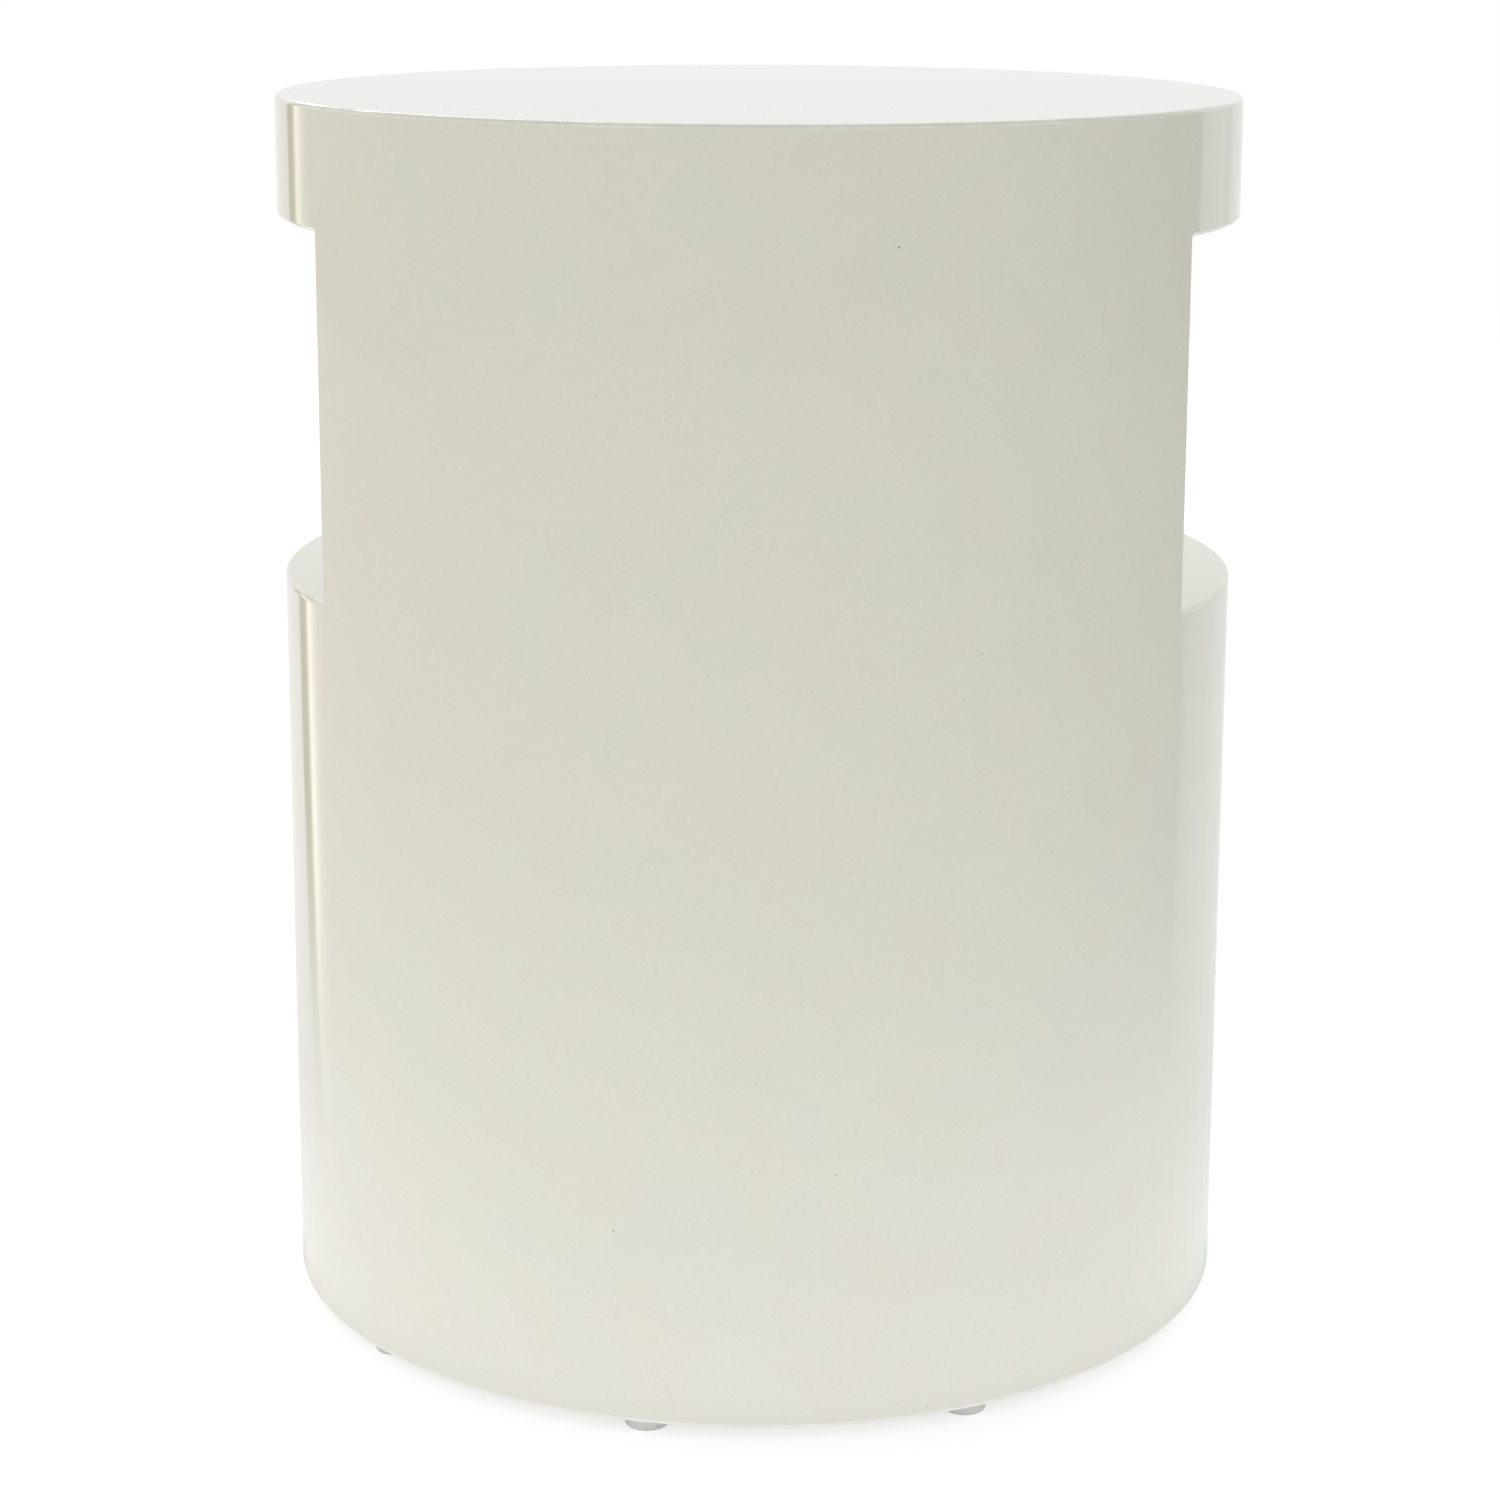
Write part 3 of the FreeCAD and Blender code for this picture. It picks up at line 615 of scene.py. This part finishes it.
@dataclass(frozen=True)
class GlideNylon(Finish):
    """Pale nylon, moulded, a little scuffed where it slides."""

    colour: Colour = srgb(222, 223, 220)
    warm: Colour = srgb(224, 220, 210)
    cool: Colour = srgb(212, 216, 218)
    scuffed: Colour = srgb(196, 194, 186)

    def wire(self, sheet: NodeSheet) -> dict:
        """Moulded skin, greyer and rougher towards the floor."""
        place = object_place(sheet)
        tint = CloudyTint().place(sheet, {"Place": place, "Colour": self.colour, "Warm": self.warm,
                                          "Cool": self.cool, "Clouds": 160.0, "Strength": 0.6, "Mottle": 0.5})
        height = sheet.put("ShaderNodeSeparateXYZ", {0: place}).outputs["Z"]
        low = sheet.step(height, 0.0, 1.6 * MM, 1.0, 0.0)
        scuff = sheet.sum("MULTIPLY", low, sheet.step(sheet.noise(place, 700.0, 3.0, 0.7), 0.4, 0.62))
        colour = sheet.blend(sheet.sum("MULTIPLY", scuff, 0.7), tint.outputs["Colour"], self.scuffed)
        relief = SurfaceRelief().place(sheet, {"Place": place, "Ripple Scale": 300.0, "Ripple": 0.01,
                                               "Peel Scale": 2600.0, "Peel": 0.006})
        return {"Base Color": colour, "Roughness": sheet.step(scuff, 0.0, 1.0, 0.34, 0.6),
                "Normal": relief_normal(sheet, relief.outputs["Height"])}


def rest_all() -> None:
    """Leaves edit mode and deselects everything."""
    if bpy.context.object is not None and bpy.context.object.mode != "OBJECT":
        bpy.ops.object.mode_set(mode="OBJECT")
    bpy.ops.object.select_all(action="DESELECT")


def take(piece: bpy.types.Object) -> None:
    """Makes a piece the only selected one, and the active one."""
    rest_all()
    piece.select_set(True)
    bpy.context.view_layer.objects.active = piece


def settle(piece: bpy.types.Object) -> None:
    """Puts a piece's place, turn and size into its mesh."""
    take(piece)
    bpy.ops.object.transform_apply(location=True, rotation=True, scale=True)


def finish_with(piece: bpy.types.Object, kind: str, **settings: object) -> None:
    """Adds a modifier to a piece and applies it.

    Args:
        piece: the piece.
        kind: the modifier's type.
        settings: the modifier's settings.
    """
    take(piece)
    modifier = piece.modifiers.new(kind.lower(), kind)
    for name, value in settings.items():
        setattr(modifier, name, value)
    bpy.ops.object.modifier_apply(modifier=modifier.name)


def pick_faces(piece: bpy.types.Object, wanted: Callable[[bpy.types.MeshPolygon], bool]) -> int:
    """Selects faces and goes into edit mode.

    Args:
        piece: the piece.
        wanted: says of each face whether it is selected.

    Returns:
        How many faces were selected.
    """
    take(piece)
    mesh = piece.data
    for kind in (mesh.vertices, mesh.edges, mesh.polygons):
        kind.foreach_set("select", [False] * len(kind))
    chosen = [face for face in mesh.polygons if wanted(face)]
    for face in chosen:
        face.select = True
    bpy.ops.object.mode_set(mode="EDIT")
    bpy.ops.mesh.select_mode(type="FACE")
    return len(chosen)


def faces_by_edge(mesh: bpy.types.Mesh) -> dict[tuple[int, int], list[bpy.types.MeshPolygon]]:
    """The faces on each side of every edge.

    Args:
        mesh: the mesh.

    Returns:
        Faces by the edge's two vertex numbers.
    """
    sides: dict[tuple[int, int], list[bpy.types.MeshPolygon]] = {}
    for face in mesh.polygons:
        for key in face.edge_keys:
            sides.setdefault(key, []).append(face)
    return sides


@dataclass
class LacquerCoat:
    """The one unbroken coat of lacquer over the boards: drum, slot, ledge and rounded edges."""

    finish: GlossLacquer
    film: float = 0.35 * MM
    layer: float = 0.30 * MM
    sides: int = 240
    board_round: float = 2.0 * MM
    corner_fill: float = 1.5 * MM
    round_steps: int = 6
    masked_radius: float = 222.6 * MM
    slot_overrun: float = 20 * MM

    def __post_init__(self) -> None:
        """Reads the drum and the slot off the frame."""
        low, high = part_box("drum_skin")
        self.radius = (high.x - low.x) / 2 + self.film
        self.bottom = low.z - self.film
        self.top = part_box("top_panel")[1].z + self.film
        self.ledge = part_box("shelf_panel")[1].z + self.film
        self.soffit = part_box("soffit_panel")[0].z - self.film
        self.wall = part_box("spine_panel")[1].y + self.film

    def build(self) -> bpy.types.Object:
        """Models and dresses the coat.

        Returns:
            The finished piece.
        """
        coat = self._turn_drum()
        self._cut_slot(coat)
        self._round_edges(coat)
        self._open_underside(coat)
        self._mark_rounds(coat)
        finish_with(coat, "SOLIDIFY", thickness=self.layer, offset=-1.0, use_even_offset=True)
        bpy.ops.object.shade_smooth_by_angle(angle=math.radians(35))
        finish_with(coat, "WEIGHTED_NORMAL", mode="FACE_AREA", weight=60, keep_sharp=True)
        self.finish.dress(coat)
        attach(coat, "root")
        return coat

    def _turn_drum(self) -> bpy.types.Object:
        """The whole drum as a solid blank."""
        rest_all()
        bpy.ops.mesh.primitive_cylinder_add(vertices=self.sides, radius=self.radius, depth=self.top - self.bottom,
                                            location=(0, 0, (self.top + self.bottom) / 2))
        drum = bpy.context.object
        drum.name = "lacquer_coat"
        settle(drum)
        return drum

    def _cut_slot(self, drum: bpy.types.Object) -> None:
        """Takes the slot out of the blank, from the back to the wall."""
        rest_all()
        reach = self.radius + self.slot_overrun
        bpy.ops.mesh.primitive_cube_add(size=1, location=(0, (self.wall + reach) / 2, (self.ledge + self.soffit) / 2))
        block = bpy.context.object
        block.scale = (2 * reach, reach - self.wall, self.soffit - self.ledge)
        settle(block)
        finish_with(drum, "BOOLEAN", operation="DIFFERENCE", solver="EXACT", object=block)
        bpy.data.objects.remove(block)

    def _round_edges(self, drum: bpy.types.Object) -> None:
        """Rounds every outer edge, and fills the slot's two inner corners a little less."""
        mesh = drum.data
        outer = self.board_round + self.film
        weights = mesh.attributes.new("bevel_weight_edge", "FLOAT", "EDGE")
        sides = faces_by_edge(mesh)
        for edge in mesh.edges:
            pair = sides.get(tuple(sorted(edge.vertices)), [])
            if len(pair) != 2 or pair[0].normal.angle(pair[1].normal) < math.radians(30):
                continue
            hollow = pair[0].normal.dot(pair[1].center - pair[0].center) > 0
            weights.data[edge.index].value = self.corner_fill / outer if hollow else 1.0
        finish_with(drum, "BEVEL", width=outer, segments=self.round_steps, limit_method="WEIGHT",
                    use_clamp_overlap=False, miter_outer="MITER_ARC", loop_slide=True)

    def _open_underside(self, drum: bpy.types.Object) -> None:
        """Leaves only the coat's turned-in rim under the drum, up to where it was masked."""
        pick_faces(drum, lambda face: face.normal.z < -0.99 and face.center.length < 0.05)
        rim = self.radius - self.board_round - self.film - self.masked_radius
        bpy.ops.mesh.inset(thickness=rim, depth=0)
        bpy.ops.mesh.delete(type="FACE")
        bpy.ops.object.mode_set(mode="OBJECT")

    def _mark_rounds(self, drum: bpy.types.Object) -> None:
        """Writes 1 on the vertices of the rounded edges and 0 on the flats and the drum's side."""
        mesh = drum.data
        values = []
        for vertex, normal in zip(mesh.vertices, mesh.vertex_normals):
            way = Vector(normal.vector)
            outward = Vector((vertex.co.x, vertex.co.y, 0)).normalized()
            straight = max(abs(way.z), way.dot(outward), way.y)
            values.append(0.0 if straight > math.cos(math.radians(14)) else 1.0)
        mark = mesh.attributes.new("edge_round", "FLOAT", "POINT")
        mark.data.foreach_set("value", values)


@dataclass
class GlidePads:
    """Nine moulded pads under the drum, each with a shouldered foot and a well for its screw."""

    finish: GlideNylon
    count: int = 9
    circle: float = 212 * MM
    first_turn: float = math.radians(18.15)
    width: float = 20 * MM
    height: float = 7.6 * MM
    shoulder: float = 1.3 * MM
    lip: float = 0.35 * MM
    well_width: float = 9 * MM
    well_depth: float = 3.4 * MM
    sides: int = 64

    def build(self) -> list[bpy.types.Object]:
        """Models one pad and copies it round the drum.

        Returns:
            The nine pads.
        """
        pattern = self._turn_pad()
        pads = []
        for number in range(self.count):
            turn = self.first_turn + number * math.tau / self.count
            pad = bpy.data.objects.new(f"glide_pad_{number + 1}", pattern.data.copy())
            bpy.context.scene.collection.objects.link(pad)
            pad.location = (self.circle * math.cos(turn), self.circle * math.sin(turn), 0)
            pad.rotation_euler = (0, 0, turn)
            settle(pad)
            self.finish.dress(pad)
            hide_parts("glides")
            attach(pad, "root")
            pads.append(pad)
        bpy.data.objects.remove(pattern)
        return pads

    def _turn_pad(self) -> bpy.types.Object:
        """One pad, standing on the origin."""
        rest_all()
        bpy.ops.mesh.primitive_cylinder_add(vertices=self.sides, radius=self.width / 2, depth=self.height,
                                            location=(0, 0, self.height / 2))
        pad = bpy.context.object
        settle(pad)
        pick_faces(pad, lambda face: face.normal.z < -0.9)
        bpy.ops.mesh.inset(thickness=self.width / 2 - self.well_width / 2, depth=0)
        bpy.ops.mesh.extrude_region_move(TRANSFORM_OT_translate={"value": (0, 0, self.well_depth)})
        bpy.ops.object.mode_set(mode="OBJECT")
        self._soften(pad)
        pick_faces(pad, lambda face: abs(face.normal.z) < 0.1 and Vector(face.center[:2]).length > 9 * MM)
        bpy.ops.mesh.bisect(plane_co=(0, 0, self.height * 0.62), plane_no=(0, 0, 1))
        bpy.ops.object.mode_set(mode="OBJECT")
        self._draw_in_waist(pad)
        take(pad)
        bpy.ops.object.shade_smooth_by_angle(angle=math.radians(35))
        finish_with(pad, "WEIGHTED_NORMAL", mode="FACE_AREA", weight=60, keep_sharp=True)
        return pad

    def _soften(self, pad: bpy.types.Object) -> None:
        """Rounds the foot's shoulder, and takes the sharpness off the other edges."""
        mesh = pad.data
        weights = mesh.attributes.new("bevel_weight_edge", "FLOAT", "EDGE")
        sides = faces_by_edge(mesh)
        for edge in mesh.edges:
            pair = sides[tuple(sorted(edge.vertices))]
            if pair[0].normal.angle(pair[1].normal) < math.radians(30):
                continue
            middle = (mesh.vertices[edge.vertices[0]].co + mesh.vertices[edge.vertices[1]].co) / 2
            foot = middle.z < 0.1 * MM and Vector(middle[:2]).length > self.well_width
            weights.data[edge.index].value = 1.0 if foot else self.lip / self.shoulder
        finish_with(pad, "BEVEL", width=self.shoulder, segments=4, limit_method="WEIGHT", use_clamp_overlap=False)

    def _draw_in_waist(self, pad: bpy.types.Object) -> None:
        """Draws the pad in a touch at the mould's parting line."""
        for vertex in pad.data.vertices:
            if abs(vertex.co.z - self.height * 0.62) < 0.05 * MM and Vector(vertex.co[:2]).length > 9 * MM:
                vertex.co.x *= 0.985
                vertex.co.y *= 0.985


@dataclass
class InnerFrame:
    """The boards, posts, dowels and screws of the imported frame, each with its own finish."""

    primer: SprayPrimer
    fibreboard: RawFibreboard
    upright: PlanedWood
    batten: PlanedWood
    dowel: PlanedWood
    plating: PlatedSteel
    nylon: GlideNylon

    def dress(self) -> int:
        """Dresses every node of the frame.

        Returns:
            How many nodes were dressed.
        """
        finishes: dict[Finish, tuple[str, ...]] = {
            self.primer: ("drum_skin", "top_panel", "soffit_panel", "shelf_panel", "spine_panel", "base_floor"),
            self.fibreboard: ("spine_rib_base", "spine_rib_shelf", "spine_rib_slot", "spine_rib_top",
                              "base_ring_rib", "base_web_left", "base_web_right", "top_ring_rib", "top_web_left",
                              "top_web_right"),
            self.upright: ("spine_stud_left", "spine_stud_centre", "spine_stud_right"),
            self.batten: ("shelf_cleat",),
            self.dowel: ("shelf_dowels", "soffit_dowels", "top_dowels"),
            self.plating: ("floor_screws", "stud_screws", "web_screws", "cleat_screws", "glide_screws"),
            self.nylon: ("glides",),
        }
        for finish, nodes in finishes.items():
            for node in nodes:
                finish.dress(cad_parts[node])
                LOG.info("frame node %s: %s", node, finish.title)
        return sum(len(nodes) for nodes in finishes.values())


@dataclass
class Panel:
    """A soft light panel that the camera itself doesn't see."""

    title: str
    place: tuple[float, float, float]
    aim: tuple[float, float, float]
    size: tuple[float, float]
    glow: float
    colour: tuple[float, float, float] = (1.0, 1.0, 1.0)

    def hang(self) -> bpy.types.Object:
        """Hangs the panel and turns it to its aim.

        Returns:
            The lamp.
        """
        light = bpy.data.lights.new(self.title, "AREA")
        light.shape = "RECTANGLE"
        light.size, light.size_y = self.size
        light.energy = self.glow * math.pi * self.size[0] * self.size[1]
        light.color = self.colour
        lamp = bpy.data.objects.new(self.title, light)
        bpy.context.scene.collection.objects.link(lamp)
        lamp.location = self.place
        lamp.rotation_euler = (Vector(self.aim) - Vector(self.place)).to_track_quat("-Z", "Y").to_euler()
        lamp.visible_camera = False
        return lamp


@dataclass
class Studio:
    """A small white table in a plain room, with a pale sweep behind it and soft panels."""

    table: tuple[float, float] = (0.32, 1.05)
    glow_from: tuple[float, float] = (0.222, 0.25)
    floor_width: float = 7.0
    floor_glow: float = 0.82
    floor_mirrored: float = 0.42
    floor_behind: float = 0.55
    floor_tint: Colour = (1.0, 0.98, 1.06, 1.0)
    floor_lift: float = 0.50
    flank: tuple[float, float] = (0.219, -0.13)
    sweep_gain: float = 1.0
    sweep_paper: Colour = (0.97, 0.975, 0.975, 1.0)
    sweep_seam: Colour = (0.83, 0.845, 0.84, 1.0)
    sweep_above: float = 1.2
    wall_top: tuple[float, float, float] = (0.95, 0.93, 0.88)
    lens: float = 82.33
    shift: float = -0.11
    camera_place: tuple[float, float, float] = (0.0385, -1.6479, 0.6849)
    yaw: float = -0.0255
    pitch: float = -0.2040
    roll: float = 0.0031

    def build(self) -> None:
        """Sets up floor, room, panels and camera."""
        self._lay_floor()
        self._light_room()
        for panel in (
            Panel("low_rim_panel", (-0.44, 1.80, 1.36), (0.0, 0.0, 0.58), (0.44, 0.10), 14.0, (1.0, 0.97, 0.92)),
            Panel("high_rim_panel", (-1.00, 1.46, 1.70), (0.0, 0.0, 0.58), (0.03, 0.12), 48.0, (1.0, 0.98, 0.95)),
            Panel("short_rim_panel", (-0.655, 1.66, 1.075), (0.0, 0.0, 0.58), (0.07, 0.12), 80.0, (1.0, 0.98, 0.95)),
        ):
            panel.hang()
        self._set_camera()

    def _lay_floor(self) -> None:
        """A pale floor that keeps the table's shadow: plain paint to the camera, while to other rays it glows near
        the table, lighting it from below, and beyond the table glows with the room's strip of light.
        """
        rest_all()
        bpy.ops.mesh.primitive_plane_add(size=self.floor_width, location=(0, 0, 0))
        floor = bpy.context.object
        floor.name = "studio_floor"
        material = bpy.data.materials.new("floor_paint")
        material.use_nodes = True
        sheet = NodeSheet(material.node_tree)
        white = (1.0, 1.0, 1.0, 1.0)
        paint = sheet.put("ShaderNodeBsdfDiffuse", {"Color": (0.80, 0.82, 0.84, 1.0)})
        place = object_place(sheet)
        away = sheet.put("ShaderNodeVectorMath", {0: place}, operation="LENGTH").outputs["Value"]
        path = sheet.put("ShaderNodeLightPath").outputs
        # Emitted light near the table, which lights the table from below like a light table.
        glow = sheet.sum("MULTIPLY", sheet.step(away, *self.glow_from, 0.35 * self.floor_glow, self.floor_glow),
                         sheet.step(path["Is Glossy Ray"], 0.0, 1.0, 1.0, self.floor_mirrored))
        behind = sheet.put("ShaderNodeSeparateXYZ", {0: place}).outputs["Y"]
        glow = sheet.sum("MULTIPLY", glow, sheet.step(behind, -0.08, 0.22, 1.0, self.floor_behind))
        near = sheet.put("ShaderNodeAddShader", {0: paint.outputs[0], 1: sheet.put(
            "ShaderNodeEmission", {"Color": self.floor_tint, "Strength": glow}).outputs[0]})
        pictured = sheet.put("ShaderNodeAddShader", {0: paint.outputs[0], 1: sheet.put(
            "ShaderNodeEmission", {"Color": white, "Strength": self.floor_lift}).outputs[0]})
        side, ahead = self.flank
        flank = sheet.put("ShaderNodeVectorMath", {0: place, 1: (-side, ahead, 0.0)}, operation="MAXIMUM").outputs[0]
        flank = sheet.put("ShaderNodeVectorMath", {0: flank, 1: (side, ahead, 0.0)}, operation="MINIMUM").outputs[0]
        from_flank = sheet.put("ShaderNodeVectorMath", {0: place, 1: flank}, operation="SUBTRACT").outputs["Vector"]
        strip = RoomStrip().place(sheet, {"Way": from_flank}).outputs
        room = sheet.put("ShaderNodeEmission", {"Color": strip["Colour"], "Strength": 1.0})
        fade = sheet.step(away, *self.table)
        around = sheet.put("ShaderNodeMixShader", {0: fade, 1: near.outputs[0], 2: room.outputs[0]})
        seen = sheet.sum("MAXIMUM", path["Is Camera Ray"], path["Is Transmission Ray"])
        both = sheet.put("ShaderNodeMixShader", {0: seen, 1: around.outputs[0], 2: pictured.outputs[0]})
        sheet.put("ShaderNodeOutputMaterial", {"Surface": both.outputs[0]})
        floor.data.materials.append(material)

    def _light_room(self) -> None:
        """Light from the walls, the ceiling and the dim floor beyond the white table."""
        world = bpy.data.worlds.new("plain_room")
        bpy.context.scene.world = world
        world.use_nodes = True
        sheet = NodeSheet(world.node_tree)
        way = sheet.put("ShaderNodeTexCoord").outputs["Generated"]
        strip = RoomStrip().place(sheet, {"Way": way}).outputs
        height = sheet.put("ShaderNodeSeparateXYZ", {0: way}).outputs["Z"]
        below = sheet.sum("MULTIPLY", sheet.step(height, -0.30, -0.02, 1.0, 0.0),
                          sheet.sum("SUBTRACT", 1.0, strip["Sweep"]))
        raised = sheet.step(height, 0.08, 0.40, 0.0, self.sweep_gain)
        gain = sheet.sum("MULTIPLY_ADD", strip["Sweep"], raised, 1.0)
        plain = sheet.put("ShaderNodeVectorMath", {0: strip["Colour"], 1: self.wall_top},
                          operation="MINIMUM").outputs["Vector"]
        walls = sheet.blend(sheet.step(height, 0.04, 0.15), strip["Colour"], plain)
        walls = sheet.put("ShaderNodeVectorMath", {0: walls, "Scale": gain}, operation="SCALE").outputs["Vector"]
        colour = sheet.blend(below, walls, (0.30, 0.28, 0.23, 1.0))
        colour = sheet.blend(sheet.step(height, 0.55, 1.0), colour, (0.36, 0.38, 0.43, 1.0))
        room = sheet.put("ShaderNodeBackground", {"Color": colour, "Strength": 1.0})
        path = sheet.put("ShaderNodeLightPath").outputs
        seen = sheet.sum("MAXIMUM", path["Is Camera Ray"], path["Is Transmission Ray"])
        mirrored = sheet.sum("MULTIPLY", path["Is Glossy Ray"], strip["Sweep"])
        sweep = sheet.blend(strip["Seam"], self.sweep_paper, self.sweep_seam)
        sweep = sheet.put("ShaderNodeVectorMath", {0: sweep, "Scale": sheet.step(
            height, 0.10, 0.20, 1.0, self.sweep_above)}, operation="SCALE").outputs["Vector"]
        white = sheet.put("ShaderNodeBackground", {
            "Color": sheet.blend(mirrored, (1.0, 1.0, 1.0, 1.0), sweep), "Strength": 1.0})
        seen = sheet.sum("MAXIMUM", seen, mirrored)
        both = sheet.put("ShaderNodeMixShader", {0: seen, 1: room.outputs[0], 2: white.outputs[0]})
        sheet.put("ShaderNodeOutputWorld", {"Surface": both.outputs[0]})

    def _set_camera(self) -> None:
        """The camera at the photo's place and angle."""
        forward = Vector((math.sin(self.yaw) * math.cos(self.pitch), math.cos(self.yaw) * math.cos(self.pitch),
                          math.sin(self.pitch)))
        level_right = Vector((math.cos(self.yaw), -math.sin(self.yaw), 0))
        level_up = level_right.cross(forward)
        right = math.cos(self.roll) * level_right + math.sin(self.roll) * level_up
        up = math.cos(self.roll) * level_up - math.sin(self.roll) * level_right
        lens = bpy.data.cameras.new("photo_camera")
        lens.lens = self.lens
        lens.sensor_width = 36.0
        lens.shift_y = self.shift
        camera = bpy.data.objects.new("photo_camera", lens)
        bpy.context.scene.collection.objects.link(camera)
        turn = Matrix((right, up, -forward)).transposed()
        camera.matrix_world = Matrix.Translation(self.camera_place) @ turn.to_4x4()
        bpy.context.scene.camera = camera


def main() -> None:
    """Builds the table's looks in order, and logs how many faces each piece has and how many frame nodes were
    dressed.
    """
    logging.basicConfig(level=logging.INFO, format="%(message)s")
    bpy.context.scene.view_settings.view_transform = "Standard"
    Studio().build()
    lacquer = GlossLacquer("gloss_lacquer")
    nylon = GlideNylon("glide_nylon")
    coat = LacquerCoat(lacquer).build()
    LOG.info("piece %s: %d faces", coat.name, len(coat.data.polygons))
    for pad in GlidePads(nylon).build():
        LOG.info("piece %s: %d faces", pad.name, len(pad.data.polygons))
    inner = InnerFrame(
        primer=SprayPrimer("spray_primer"),
        fibreboard=RawFibreboard("raw_fibreboard"),
        upright=PlanedWood("planed_softwood"),
        batten=PlanedWood("planed_batten", grain=Grain.ALONG_X),
        dowel=PlanedWood("beech_dowel", light=srgb(214, 178, 134), dark=srgb(190, 148, 104), rings=120.0),
        plating=PlatedSteel("zinc_plating"),
        nylon=nylon,
    )
    LOG.info("frame nodes dressed: %d", inner.dress())
    rest_all()


if __name__ == "__main__":
    main()
